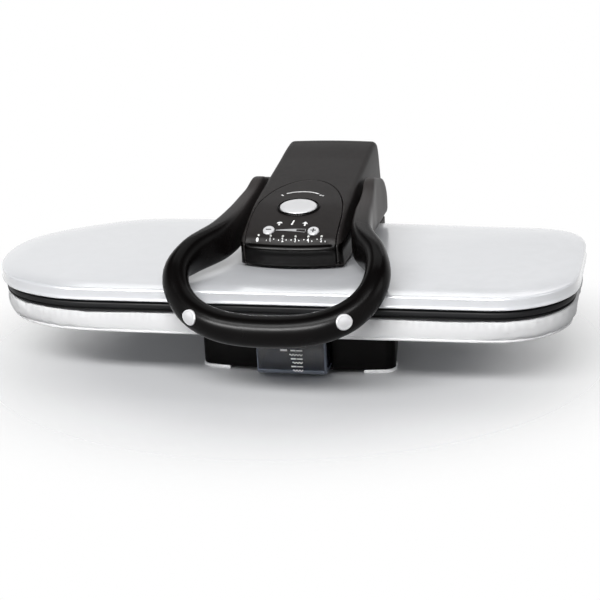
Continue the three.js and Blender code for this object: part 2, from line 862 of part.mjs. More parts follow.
function buildBase() {
  const bayMouth = bayHalfWidth + bayWall + gap;
  const bayMouthZ = tankTopZ + bayWall + 2 * gap + runningGap;
  const shell = cut(
    slab(baseOutline(0), shellZ, deckZ),
    slab(baseOutline(baseWall), shellZ - overrun, deckZ - baseWall),
    box(
      -bayMouth,
      bayMouth,
      baseFrontY - overrun,
      baseFrontY + baseFrontBow + baseWall,
      shellZ - overrun,
      bayMouthZ,
    ),
    box(
      -hoseDeckHalf,
      hoseDeckHalf,
      hoseDeckY - hoseDeckHalf,
      hoseDeckY + hoseDeckHalf,
      deckZ - baseWall - overrun,
      deckZ + overrun,
    ),
    rod(
      new THREE.Vector3(glandX, baseRearY - baseWall - overrun, shellZ + glandHeight),
      new THREE.Vector3(glandX, baseRearY + overrun, shellZ + glandHeight),
      glandRadius + gap,
    ),
  );
  const bosses = screwPlaces.map(({ x, y }) =>
    cut(
      post(x, y, plateTopZ + gap, deckZ - baseWall + gap, screwBossRadius, smallSides),
      post(x, y, plateTopZ, plateZ + screwLength + gap, screwShankRadius + gap, smallSides),
    ),
  );
  add(base, "base_shell", join(shell, ...bosses), "blackSatin");

  const screwHoles = screwPlaces.map(({ x, y }) => circle(x, y, screwShankRadius + gap, smallSides));
  const plate = slab(baseOutline(baseWall + gap), plateZ, plateTopZ, screwHoles);
  add(base, "base_bottom", plate, "blackSatin");

  screwPlaces.forEach(({ x, y }, i) => {
    const headZ = plateZ - gap - screwHeadHeight;
    const screw = join(
      post(x, y, headZ, headZ + screwHeadHeight, screwHeadRadius, smallSides),
      post(x, y, headZ, plateZ + screwLength, screwShankRadius, smallSides),
    );
    add(base, `base_screw_${i + 1}`, screw, "steel");
  });

  const strip = cut(
    slab(baseOutline(-footProud), 0, footHeight),
    slab(baseOutline(footWidth), -overrun, footHeight + overrun),
  );
  const footX = baseFrontHalfWidth - footRunAlongFront;
  const footY = baseFrontY + baseFrontBow + footRunAlongSide;
  const reach = baseFrontHalfWidth + overrun;
  const front = baseFrontY - overrun;
  const corner = (x0, x1) => strip.intersect(box(x0, x1, front, footY, -overrun, footHeight + overrun));
  add(base, "foot_front_left", corner(-reach, -footX), "paleGrey");
  add(base, "foot_front_right", corner(footX, reach), "paleGrey");
  const rearFootX = baseRearHalfWidth - baseRearCornerRadius;
  const rearFootY = baseRearY - 2 * baseRearCornerRadius;
  add(base, "foot_rear_left", post(-rearFootX, rearFootY, 0, plateZ - gap, rearFootRadius), "rubber");
  add(base, "foot_rear_right", post(rearFootX, rearFootY, 0, plateZ - gap, rearFootRadius), "rubber");
}

// Bay liner that guides the tank, the tank's seat, and the tank with its lid, cap and valve
function buildTank() {
  const bayTopZ = tankTopZ + runningGap + gap;
  const bayFrontY = baseFrontY + baseFrontBow + baseWall + gap;
  const liner = cut(
    box(
      -bayHalfWidth - bayWall,
      bayHalfWidth + bayWall,
      bayFrontY,
      bayRearY + bayWall,
      tankZ,
      bayTopZ + bayWall,
    ),
    box(-bayHalfWidth, bayHalfWidth, bayFrontY - overrun, bayRearY, tankZ - overrun, bayTopZ),
    valveHole(bayRearY - overrun, bayRearY + bayWall + overrun, valveRadius + runningGap),
  );
  add(base, "tank_bay", liner, "blackSatin");

  const plan = (inset) =>
    roundedRectangle(
      -tankHalfWidth + inset,
      tankHalfWidth - inset,
      tankFrontY + inset,
      tankRearY - inset,
      Math.max(tankCornerRadius - inset, tankWall / 2),
    );
  const body = cut(
    slab(plan(0), tankZ, tankTopZ),
    slab(plan(tankWall), tankZ + tankWall, tankTopZ + overrun),
    valveHole(tankRearY - tankWall - overrun, tankRearY + overrun, valveRadius + gap),
  );
  add(tank, "water_tank", body, "smokedClear");

  const lid = slab(
    plan(tankWall + gap),
    lidTopZ - lidThickness,
    lidTopZ,
    [circle(0, fillerY, fillerRadius)],
  );
  const rib = cut(
    post(0, fillerY, lidTopZ - 2 * lidThickness, lidTopZ, fillerRadius + capFlange),
    post(0, fillerY, lidTopZ - lidThickness - overrun, lidTopZ + overrun, fillerRadius),
  );
  add(tank, "tank_lid", join(lid, rib), "smokedClear");

  const cap = join(
    post(0, fillerY, lidTopZ + gap, lidTopZ + gap + capProud, fillerRadius + capFlange),
    post(0, fillerY, lidTopZ - lidThickness, lidTopZ + gap, fillerRadius - gap),
  );
  add(tank, "filler_cap", cap, "rubber");

  const valve = cut(
    valveHole(tankRearY - tankWall - gap, tankRearY + valveLength, valveRadius),
    valveHole(tankRearY - tankWall - overrun, tankRearY + valveLength - bayWall, valveRadius / 2),
  );
  add(tank, "tank_valve", valve, "rubber");
}

function valveHole(y0, y1, radius) {
  return rod(new THREE.Vector3(0, y0, valveZ), new THREE.Vector3(0, y1, valveZ), radius, smallSides);
}

// Pump with its hose, power board and cord gland
const pumpFrontY = tankRearY + valveLength + bayWall + 4 * gap + runningGap;
const pumpZ = plateTopZ + gap + pumpRadius + bottomPlateThickness;
const pumpRearY = pumpFrontY + pumpLength;
const hoseStartY = pumpRearY + pumpNozzleLength + gap;
const hoseDeckY = (towerFrontY + towerRearY) / 2;
const hoseDeckHalf = hoseRadius * 2;
const hoseEndZ = deckZ + baseHeight / 2;

function buildWaterworks() {
  const along = (y0, y1, radius, z = pumpZ) =>
    rod(new THREE.Vector3(0, y0, z), new THREE.Vector3(0, y1, z), radius);
  const cradle = box(
    -pumpCradleHalfWidth,
    pumpCradleHalfWidth,
    pumpFrontY,
    pumpRearY,
    plateTopZ + gap,
    pumpZ,
  );
  const pump = join(
    along(pumpFrontY, pumpRearY, pumpRadius),
    cradle,
    along(pumpRearY - gap, pumpRearY + pumpNozzleLength, pumpNozzleRadius),
    along(tankRearY + valveLength + gap, pumpFrontY + gap, pumpNozzleRadius, valveZ),
  );
  add(base, "water_pump", pump, "rubber");

  const bendY = (hoseStartY + hoseDeckY) / 2;
  const hose = tube(
    [
      new THREE.Vector3(0, hoseStartY, pumpZ),
      new THREE.Vector3(0, hoseStartY + hoseRadius * 3, pumpZ),
      new THREE.Vector3(0, bendY, pumpZ + hoseRadius),
      new THREE.Vector3(0, hoseDeckY - hoseRadius, (pumpZ + deckZ) / 2),
      new THREE.Vector3(0, hoseDeckY, deckZ),
      new THREE.Vector3(0, hoseDeckY, hoseEndZ),
    ],
    hoseRadius,
    16,
    hoseSides,
  );
  add(base, "pump_hose", hose, "hose");

  const boardY0 = screwPlaces[0].y + screwBossRadius + powerBoardFrontGap;
  const boardZ = plateTopZ + gap + powerBoardStandoff;
  const boardX0 = bayHalfWidth + bayWall + standoffRadius;
  const boardX1 = baseHalfWidth(boardY0 + powerBoardDepth) - baseWall - powerBoardSideGap;
  const boardX = (boardX0 + boardX1) / 2;
  const half = (boardX1 - boardX0) / 2;
  const feet = [-1, 1].flatMap((sideX) =>
    [boardY0 + standoffRadius * 2, boardY0 + powerBoardDepth - standoffRadius * 2].map((y) =>
      post(
        boardX + sideX * (half - standoffRadius * 2),
        y,
        plateTopZ + gap,
        boardZ + gap,
        standoffRadius,
        smallSides,
      ),
    ),
  );
  const block = (2 * half) / 3;
  const parts = join(
    box(boardX - half, boardX + half, boardY0, boardY0 + powerBoardDepth, boardZ, boardZ + boardThickness),
    ...feet,
    box(boardX - block, boardX + block, boardY0 + block, boardY0 + 2 * block, boardZ, boardZ + block),
    post(boardX, boardY0 + 4 * block, boardZ, boardZ + block, block / 2, smallSides),
  );
  add(base, "power_board", parts, "circuit");

  const glandZ = shellZ + glandHeight;
  const bush = (y0, y1, radius) =>
    rod(new THREE.Vector3(glandX, y0, glandZ), new THREE.Vector3(glandX, y1, glandZ), radius);
  const gland = cut(
    join(
      bush(baseRearY - baseWall - glandFlangeThickness, baseRearY + glandProud, glandRadius),
      bush(baseRearY + gap, baseRearY + gap + glandFlangeThickness, glandFlangeRadius),
    ),
    bush(
      baseRearY - baseWall - overrun - glandFlangeThickness,
      baseRearY + glandProud + overrun,
      glandBoreRadius,
    ),
  );
  add(base, "cord_gland", gland, "rubber");
}

// Board: two supports, tray and padded cover
function buildBoard() {
  const support = (y) =>
    box(
      -supportHalfLength,
      supportHalfLength,
      y - supportWidth / 2,
      y + supportWidth / 2,
      supportZ,
      supportZ + supportHeight,
    );
  add(base, "board_support_front", support(supportFrontY), "blackSatin");
  add(base, "board_support_rear", support(supportRearY), "blackSatin");

  const trayInset = padInset + padSeat + gap;
  const tray = cut(
    slab(boardOutline(trayInset), trayZ - trayRimDepth, trayTopZ),
    slab(boardOutline(trayInset + trayRimWidth), trayZ - trayRimDepth - overrun, trayZ),
  );
  add(base, "board_tray", tray, "steel");

  const padBodyTop = padTopZ - padCrown;
  const sideZ = padZ + padDrawIn;
  const rollZ = padBodyTop - padRoll / 2;
  const padRings = [
    [padInset + padDrawIn, padZ],
    [padInset + padDrawIn / 3, padZ + padDrawIn / 4],
    [padInset, sideZ],
    [padInset, rollZ - padRoll / 4],
    [padInset + padRoll / 8, rollZ + padRoll / 8],
    [padInset + padRoll / 3, padBodyTop - padRoll / 8],
    [padInset + padRoll, padBodyTop],
  ].map(([inset, z]) => ringAt(boardOutline(inset), z));
  const pad = cut(
    loft([...padRings, ...crownRings(boardOutline(padInset + padRoll), padBodyTop, padCrown)]),
    slab(boardOutline(padInset + padSeat), padZ - overrun, trayTopZ + gap),
  );
  add(base, "board_pad", pad, "cloth");
}

// Shoe: rim, heating plate with its element, steam chamber, mat and cover
const openingRearY = uprightHalfDepth + uprightOpeningGap + hoseOpening;
const hosePlaceY = uprightHalfDepth + uprightOpeningGap + hoseOpening / 2;
const openingHalfWidth = uprightHalfWidth + uprightOpeningGap;
const openingFrontY = -uprightHalfDepth - uprightOpeningGap;

function buildShoe() {
  const rim = slab(boardOutline(rimInset), shoeZ, shoeZ + rimHeight, [boardOutline(rimInset + rimWidth)]);
  add(arm, "shoe_rim", rim, "rimGrey");

  const holes = [];
  for (let column = -steamHoleColumns; column <= steamHoleColumns; column += 1) {
    for (let row = -steamHoleRows; row <= steamHoleRows; row += 1) {
      holes.push(circle(column * steamHolePitchX, row * steamHolePitchY, steamHoleRadius, 6));
    }
  }
  const plate = slab(boardOutline(rimInset + rimWidth + gap), shoeZ, heatingTopZ, holes);
  add(arm, "heating_plate", plate, "aluminium");

  const elementZ = heatingTopZ + gap + elementRadius;
  const elementY = boardWidth / 2 - elementInset;
  const openX = squareEndX - elementInset;
  const turnX = noseRootX;
  const elementEnd = elementGapHalfWidth;
  const elementPath = [
    [openX - elementInset, -elementEnd],
    [openX - elementInset / 3, -elementEnd],
    [openX, -(elementY + elementEnd) / 2],
    [openX - elementInset / 3, -elementY],
    [boardMiddleX, -elementY],
    [turnX, -elementY],
    [turnX - elementY * 0.75, -elementY * 0.7],
    [turnX - elementY, 0],
  ];
  const mirrored = elementPath.slice(0, -1).reverse().map(([x, y]) => [x, -y]);
  const element = tube(
    [...elementPath, ...mirrored].map(([x, y]) => new THREE.Vector3(x, y, elementZ)),
    elementRadius,
    46,
    hoseSides,
  );
  add(arm, "heating_element", element, "steel");

  const chamber = cut(
    join(
      slab(
        roundedRectangle(
          -chamberHalfWidth,
          chamberHalfWidth,
          chamberFrontY,
          chamberRearY,
          tankCornerRadius,
        ),
        chamberZ,
        chamberTopZ,
      ),
    ),
    box(
      -chamberHalfWidth + coverWall,
      chamberHalfWidth - coverWall,
      chamberFrontY + coverWall,
      chamberRearY - coverWall,
      chamberZ - overrun,
      chamberTopZ - coverWall,
    ),
    post(
      0,
      hosePlaceY,
      chamberTopZ - coverWall - overrun,
      chamberTopZ + overrun,
      hoseRadius / 2,
      smallSides,
    ),
  );
  add(arm, "steam_chamber", chamber, "aluminium");

  const thermostat = join(
    post(thermostatX, 0, chamberZ, chamberZ + thermostatHeight, thermostatRadius),
    box(
      thermostatX - thermostatRadius - gap,
      thermostatX + thermostatRadius + gap,
      -thermostatRadius / 3,
      thermostatRadius / 3,
      chamberZ + thermostatHeight / 2,
      chamberZ + thermostatHeight + gap,
    ),
  );
  add(arm, "thermostat", thermostat, "steel");

  const opening = (z0, z1) => box(-openingHalfWidth, openingHalfWidth, openingFrontY, openingRearY, z0, z1);
  const matTop = coverEdgeZ - coverWall - gap;
  const mat = cut(
    slab(boardOutline(matInset), matTop - matThickness, matTop),
    opening(matTop - matThickness - overrun, matTop + overrun),
  );
  add(arm, "insulation_mat", mat, "mat");

  const sideTopZ = coverEdgeZ - coverEdgeRadius;
  const edge = coverEdgeAngles.map((degrees) => {
    const angle = THREE.MathUtils.degToRad(degrees);
    const inset = coverSideLean + coverEdgeRadius * (1 - Math.cos(angle));
    return [inset, sideTopZ + coverEdgeRadius * Math.sin(angle)];
  });
  const outer = [
    [2 * coverSideLean, coverZ],
    [0, coverZ + 2 * coverSideLean],
    [coverSideLean, sideTopZ],
    ...edge,
  ];
  const outerRings = outer.map(([inset, z]) => ringAt(boardOutline(inset), z));
  const topInset = coverSideLean + coverEdgeRadius;
  const body = loft([...outerRings, ...crownRings(boardOutline(topInset), coverEdgeZ, coverCrown)]);
  const hollowTop = coverEdgeZ - coverWall;
  const hollow = loft(
    [
      [coverLipWidth, coverZ - overrun],
      [coverLipWidth, coverZ + coverLipThickness],
      [coverWall, coverZ + coverLipThickness],
      [coverSideLean + coverWall, sideTopZ],
      [coverSideLean + coverEdgeRadius, hollowTop],
    ].map(([inset, z]) => ringAt(boardOutline(inset), z)),
  );
  add(arm, "shoe_cover", cut(body, hollow, opening(coverZ, coverTopZ + overrun)), "whitePaint");
}

// Hanger with its two bolts
function buildHanger() {
  const topZ = frameZ - gap;
  const posts = [-1, 1].flatMap((sideX) =>
    [-1, 1].map((sideY) =>
      post(
        sideX * (hangerHalfWidth - hangerPostRadius * 1.5),
        sideY * (hangerHalfDepth - hangerPostRadius * 1.5),
        chamberZ,
        hangerZ + gap,
        hangerPostRadius,
        smallSides,
      ),
    ),
  );
  const plate = slab(
    roundedRectangle(
      -hangerHalfWidth,
      hangerHalfWidth,
      -hangerHalfDepth,
      hangerHalfDepth,
      hangerPostRadius,
    ),
    hangerZ,
    hangerTopZ,
    [circle(0, hosePlaceY, hoseRadius + runningGap)],
  );
  const upright = box(
    -uprightHalfWidth,
    uprightHalfWidth,
    -uprightHalfDepth,
    uprightHalfDepth,
    hangerTopZ - gap,
    topZ,
  );
  const boltHoles = [-1, 1].map((side) =>
    post(
      0,
      (side * boltSpacing) / 2,
      topZ - boltLength - gap,
      topZ + overrun,
      boltRadius + gap,
      smallSides,
    ),
  );
  add(arm, "shoe_hanger", cut(join(plate, upright, ...posts), ...boltHoles), "steel");

  ["front", "rear"].forEach((end, i) => {
    const y = ((i * 2 - 1) * boltSpacing) / 2;
    const headZ = webTopZ + gap;
    const bolt = join(
      post(0, y, headZ, headZ + boltHeadHeight, boltHeadRadius, 6),
      post(0, y, topZ - boltLength, headZ + gap, boltRadius, smallSides),
    );
    add(arm, `hanger_bolt_${end}`, bolt, "steel");
  });
}

// Arm frame: two side plates and a web between them
function buildArmFrame() {
  const boss = arc(hingeY, hingeZ, earRadius, earRadius, 70, -110, 8);
  const shaftBoss = arc(pivotY, pivotZ, earRadius, earRadius, 125, 40, 4);
  const outline = [
    new THREE.Vector2(frameFrontY, frameZ),
    new THREE.Vector2(frameFrontY, frameZ + frameFrontHeight),
    new THREE.Vector2(frameFrontY + controlBoardDepth + overrun, frameZ + frameFrontHeight),
    ...shaftBoss,
    ...boss,
    new THREE.Vector2(frameRearY, frameZ),
  ];
  const outerX = framePlateInner + framePlateThickness;
  const left = sideSlab(outline, -outerX, -framePlateInner);
  const right = sideSlab(outline, framePlateInner, outerX);
  const web = box(-outerX, outerX, frameFrontY, frameRearY, frameZ, webTopZ);
  const holes = [
    crossRod(hingeY, hingeZ, -outerX - overrun, outerX + overrun, hingePinRadius + gap),
    crossRod(pivotY, pivotZ, -outerX - overrun, outerX + overrun, shaftRadius + gap),
    post(0, hosePlaceY, frameZ - overrun, webTopZ + overrun, hoseRadius + hoseHoleGap),
    ...[-1, 1].map((side) =>
      post(0, (side * boltSpacing) / 2, frameZ - overrun, webTopZ + overrun, boltRadius + gap, smallSides),
    ),
  ];
  add(arm, "arm_frame", cut(join(web, left, right), ...holes), "steel");
}

// Arm housing, its panel and the pan below
function panelOutline(shrink) {
  const half = housingTopHalfWidth - panelCut - shrink;
  const front = housingFrontY - overrun;
  return [
    new THREE.Vector2(-half, front),
    new THREE.Vector2(half, front),
    ...arc(0, archShoulderY, half, archTopY - archShoulderY - shrink, 0, 180, 14),
  ];
}

const powerPlace = topPlace(0, powerY);
const stepperPlaces = [-1, 1].map((side) => topPlace(side * stepperX, stepperY));
const lampPlaces = Array.from({ length: lampCount }, (_, i) =>
  topPlace(-lampHalfSpan + (2 * lampHalfSpan * i) / (lampCount - 1), lampY),
);

function buildHousing() {
  const outer = housingBody(0, skirtZ);
  const hollow = housingBody(housingWall, skirtZ - overrun);
  const reach = housingBottomHalfWidth + overrun;
  const knuckleSlot = outerKnuckleOuter + housingWall / 2;
  const skirtCut = sideSlab(
    [
      new THREE.Vector2(housingFrontY - overrun, skirtZ - overrun),
      new THREE.Vector2(skirtFrontY, skirtZ - overrun),
      new THREE.Vector2(skirtFrontY + skirtDrop / 2, skirtZ),
      new THREE.Vector2(skirtFrontY, housingZ),
      new THREE.Vector2(housingFrontY - overrun, housingZ),
    ],
    -reach,
    reach,
  );
  const rearCut = sideSlab(
    [
      new THREE.Vector2(hingeY, skirtZ - overrun),
      new THREE.Vector2(housingRearY + overrun, skirtZ - overrun),
      new THREE.Vector2(housingRearY + overrun, skirtZ + skirtRearCut),
      new THREE.Vector2(housingRearY, skirtZ + skirtRearCut),
      new THREE.Vector2(hingeY, skirtZ),
    ],
    -reach,
    reach,
  );
  const knuckleCut = box(
    -knuckleSlot,
    knuckleSlot,
    housingRearY - 2 * housingWall,
    housingRearY + overrun,
    skirtZ - overrun,
    hingeZ + skirtRearCut,
  );
  const shaftHole = crossRod(pivotY, pivotZ, -reach, reach, shaftRadius + runningGap);
  const skin = cut(outer, hollow, skirtCut, rearCut, knuckleCut, shaftHole);
  const archTall = (shrink) => slab(panelOutline(shrink), housingZ - overrun, housingTopZ + overrun);
  add(arm, "arm_housing", cut(skin, archTall(-gap / 2)), "blackSatin");

  const buttonHoles = [
    standAt(
      ellipse(powerHalfWidth + runningGap, powerHalfDepth + runningGap),
      -2 * overrun,
      overrun,
      powerPlace,
    ),
    ...stepperPlaces.map((place) =>
      standAt(circle(0, 0, stepperRadius + runningGap), -2 * overrun, overrun, place),
    ),
    ...lampPlaces.map((place) => standAt(circle(0, 0, lampRadius + gap, 6), -2 * overrun, overrun, place)),
  ];
  add(arm, "control_panel", cut(skin.intersect(archTall(gap / 2)), ...buttonHoles), "blackGloss");

  const pan = cut(
    housingBody(housingWall + gap, skirtZ - overrun).intersect(
      box(-reach, reach, housingFrontY, panRearY, housingZ, panTopZ),
    ),
    box(
      -openingHalfWidth,
      openingHalfWidth,
      openingFrontY,
      openingRearY,
      housingZ - overrun,
      panTopZ + overrun,
    ),
  );
  const bossX = framePlateInner + framePlateThickness / 2;
  const bosses = [-1, 1].flatMap((side) =>
    [frameFrontY + 2 * panBossRadius, frameRearY - 4 * panBossRadius].map((y) =>
      post(side * bossX, y, panTopZ - gap, frameZ - gap, panBossRadius, smallSides),
    ),
  );
  add(arm, "arm_underpan", join(pan, ...bosses), "blackSatin");
}

// Push buttons, lamps and the control board
function buildControls() {
  const boardZ = frameZ + frameFrontHeight + gap;
  const flangeTop = -housingWall - buttonFlangeDrop;
  const button = (name, cap, flange, place, capDepth, proud) => {
    const reach = (place.point.z - boardZ - boardThickness) / place.normal.z - buttonTravel - stemRadius;
    const solid = join(
      standAt(cap, -capDepth, proud, place),
      standAt(flange, flangeTop - buttonFlangeThickness, flangeTop, place),
      standAt(circle(0, 0, stemRadius, smallSides), -reach, -capDepth + gap, place),
    );
    add(arm, name, solid, "buttonSilver");
  };
  const widePower = ellipse(powerHalfWidth + buttonFlange, powerHalfDepth + buttonFlange);
  button(
    "power_button",
    ellipse(powerHalfWidth, powerHalfDepth),
    widePower,
    powerPlace,
    powerCap,
    powerProud,
  );
  ["minus_button", "plus_button"].forEach((name, i) => {
    const wide = ellipse(stepperRadius + buttonFlange, stepperRadius, roundSides);
    button(name, circle(0, 0, stepperRadius), wide, stepperPlaces[i], stepperCap, stepperProud);
  });

  const pipes = lampPlaces.map((place) => standAt(circle(0, 0, lampRadius, 6), -lampBarDepth, gap, place));
  const bars = lampPlaces.slice(1).map((place, i) => {
    const ends = [lampPlaces[i], place].map(({ point, normal }) =>
      point.clone().addScaledVector(normal, -lampBarDepth),
    );
    return rod(ends[0], ends[1], lampBarRadius, 6);
  });
  add(arm, "indicator_strip", join(pipes[0], ...pipes.slice(1), ...bars), "lamp");

  const boardY0 = frameFrontY + gap;
  const board = box(
    -controlBoardHalfWidth,
    controlBoardHalfWidth,
    boardY0,
    boardY0 + controlBoardDepth,
    boardZ,
    boardZ + boardThickness,
  );
  add(arm, "control_board", board, "circuit");
}

// Hose inside the arm, down to the steam chamber
function buildSteamHose() {
  const runX = framePlateInner - 3 * hoseRadius;
  const runZ = webTopZ + 1.5 * hoseRadius;
  const hose = tube(
    [
      new THREE.Vector3(0, hosePlaceY, chamberTopZ + gap),
      new THREE.Vector3(0, hosePlaceY, (chamberTopZ + frameZ) / 2),
      new THREE.Vector3(0, hosePlaceY, frameZ),
      new THREE.Vector3(0, hosePlaceY, webTopZ),
      new THREE.Vector3(runX / 4, hosePlaceY + 2 * hoseRadius, runZ),
      new THREE.Vector3(runX, hosePlaceY + 6 * hoseRadius, runZ),
      new THREE.Vector3(runX, pivotY, runZ),
      new THREE.Vector3(runX, hingeY - knuckleRadius - 2 * hoseRadius, runZ),
    ],
    hoseRadius,
    24,
    hoseSides,
  );
  add(arm, "steam_hose", hose, "hose");
}

// Tower behind the board, with the hinge
function buildHinge() {
  const towerZ = deckZ + gap;
  const plan = (inset) =>
    roundedRectangle(
      -towerHalfWidth + inset,
      towerHalfWidth - inset,
      towerFrontY + inset,
      towerRearY - inset,
      towerCornerRadius - inset,
    );
  const knuckleSide = (radius, lowerZ) => [
    new THREE.Vector2(hingeY - radius, lowerZ),
    new THREE.Vector2(hingeY + radius, lowerZ),
    ...arc(hingeY, hingeZ, radius, radius, 0, 180, 10),
  ];
  const knuckles = [
    [-knuckleHalfWidth, knuckleHalfWidth],
    [-outerKnuckleOuter, -outerKnuckleInner],
    [outerKnuckleInner, outerKnuckleOuter],
  ].map(([x0, x1]) => sideSlab(knuckleSide(knuckleRadius, towerTopZ - gap), x0, x1));
  const knuckleHollow = sideSlab(
    knuckleSide(knuckleRadius - knuckleWall, towerTopZ - towerWall - overrun),
    -knuckleHalfWidth + knuckleWall,
    knuckleHalfWidth - knuckleWall,
  );
  const tower = cut(
    join(slab(plan(0), towerZ, towerTopZ), ...knuckles),
    slab(plan(towerWall), towerZ - overrun, towerTopZ - towerWall),
    knuckleHollow,
    crossRod(
      hingeY,
      hingeZ,
      -outerKnuckleOuter - overrun,
      outerKnuckleOuter + overrun,
      hingePinRadius + gap,
    ),
  );
  add(base, "rear_tower", tower, "blackSatin");

  const earSide = [
    new THREE.Vector2(hingeY - earRadius, towerZ),
    new THREE.Vector2(hingeY + earRadius, towerZ),
    ...arc(hingeY, hingeZ, earRadius, earRadius, 0, 180, 10),
  ];
  const earOuter = earInner + earThickness;
  const bracket = cut(
    join(
      sideSlab(earSide, -earOuter, -earInner),
      sideSlab(earSide, earInner, earOuter),
      box(
        -earOuter,
        earOuter,
        hingeY - earRadius,
        hingeY + earRadius,
        towerZ,
        towerZ + bracketPlateThickness,
      ),
    ),
    crossRod(hingeY, hingeZ, -earOuter - overrun, earOuter + overrun, hingePinRadius + gap),
    post(0, hoseDeckY, towerZ - overrun, towerZ + bracketPlateThickness + overrun, hoseRadius + runningGap),
  );
  add(base, "hinge_bracket", bracket, "steel");
  add(
    base,
    "hinge_pin",
    crossRod(hingeY, hingeZ, -hingePinHalfLength, hingePinHalfLength, hingePinRadius),
    "steel",
  );

  const coilRadius = hingePinRadius + gap + springWireRadius;
  const stepsPerTurn = 8;
  ["left", "right"].forEach((name, i) => {
    const side = i * 2 - 1;
    const coil = [];
    for (let k = 0; k <= springTurns * stepsPerTurn; k += 1) {
      const angle = (2 * Math.PI * k) / stepsPerTurn;
      const x = side * (springWireRadius + gap + (springPitch * k) / stepsPerTurn);
      coil.push(
        new THREE.Vector3(x, hingeY + coilRadius * Math.cos(angle), hingeZ + coilRadius * Math.sin(angle)),
      );
    }
    add(base, `hinge_spring_${name}`, coiledWire(coil), "steel");
    const nextTurn = coil.slice(stepsPerTurn).map((p, k) => p.distanceTo(coil[k]) - 2 * springWireRadius);
    console.log(`hinge_spring_${name} least gap between turns, mm: ${Math.min(...nextTurn).toFixed(2)}`);
  });
}

// A wire of five sides through the points of a coil about the hinge
function coiledWire(points) {
  const axisAt = (p) => new THREE.Vector3(p.x, hingeY, hingeZ);
  const rings = points.map((p, k) => {
    const before = points[Math.max(0, k - 1)];
    const after = points[Math.min(points.length - 1, k + 1)];
    const along = after.clone().sub(before).normalize();
    const outward = p.clone().sub(axisAt(p));
    outward.addScaledVector(along, -outward.dot(along)).normalize();
    const sideways = new THREE.Vector3().crossVectors(along, outward);
    return circle(0, 0, springWireRadius, 5).map((q) =>
      p.clone().addScaledVector(outward, q.x).addScaledVector(sideways, q.y),
    );
  });
  return loft(rings);
}

// Handle with its shaft, cam and buttons, and the detent leaf on the arm
function buildHandle() {
  const steamPlaces = [-1, 1].map(steamPlace);
  const pocketDepth = steamButtonDepth + steamButtonTravel + gap;
  const pockets = steamPlaces.map((place) =>
    standAt(circle(0, 0, steamButtonRadius + runningGap, 20), -pocketDepth, overrun, place),
  );
  const shaftEnd = housingBottomHalfWidth + paddleGap + shaftSeat;
  const shaftHole = crossRod(pivotY, pivotZ, -shaftEnd - gap, shaftEnd + gap, shaftRadius + gap);
  add(handle, "handle_loop", cut(handleBody(0), shaftHole, ...pockets), "blackGloss");
  add(handle, "handle_shaft", crossRod(pivotY, pivotZ, -shaftEnd, shaftEnd, shaftRadius), "steel");

  const proud = handleBody(steamButtonProud);
  ["left", "right"].forEach((name, i) => {
    const plug = standAt(circle(0, 0, steamButtonRadius, 20), -steamButtonDepth, overrun, steamPlaces[i]);
    add(handle, `steam_button_${name}`, proud.intersect(plug), "buttonSilver");
  });

  const detentZ = pivotZ - camReach - gap - detentThickness;
  const noseDegrees = 60;
  const camOutline = [
    ...arc(pivotY, pivotZ, camRadius, camRadius, -90 + noseDegrees, 270 - noseDegrees, 12),
    new THREE.Vector2(pivotY - camHalfNose, pivotZ - camReach),
    new THREE.Vector2(pivotY + camHalfNose, pivotZ - camReach),
  ];
  const cam = cut(
    sideSlab(camOutline, -camHalfWidth, camHalfWidth),
    crossRod(pivotY, pivotZ, -camHalfWidth - overrun, camHalfWidth + overrun, shaftRadius + gap),
  );
  add(handle, "handle_cam", cam, "steel");

  const leaf = join(
    box(
      -detentHalfWidth,
      detentHalfWidth,
      detentFrontY + overrun,
      detentRearY,
      detentZ,
      detentZ + detentThickness,
    ),
    box(
      -detentHalfWidth,
      detentHalfWidth,
      detentRearY - overrun,
      detentRearY,
      webTopZ + gap,
      detentZ + gap,
    ),
  );
  add(arm, "detent_leaf", leaf, "steel");
}

buildBase();
buildTank();
buildWaterworks();
buildBoard();
buildShoe();
buildHanger();
buildArmFrame();
buildHousing();
buildControls();
buildSteamHose();
buildHinge();
buildHandle();

// Origin under the middle of the whole press
const whole = new THREE.Box3().setFromObject(press);
const middle = whole.getCenter(new THREE.Vector3());
press.position.set(-middle.x, -middle.y, -whole.min.z);
press.updateMatrixWorld(true);
console.log(`moved by, mm: ${press.position.toArray().map((value) => value.toFixed(3)).join(", ")}`);

export default press;
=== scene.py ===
"""Looks of the steam ironing press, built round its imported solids.

Shapes are worked out in millimetres, from the arm's middle plane and with the hinge pin at HINGE_Y.
place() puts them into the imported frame, in metres.
"""

import json
import math

import bmesh
import bpy
import numpy as np
from mathutils import Matrix, Vector, geometry, noise
from mathutils.bvhtree import BVHTree


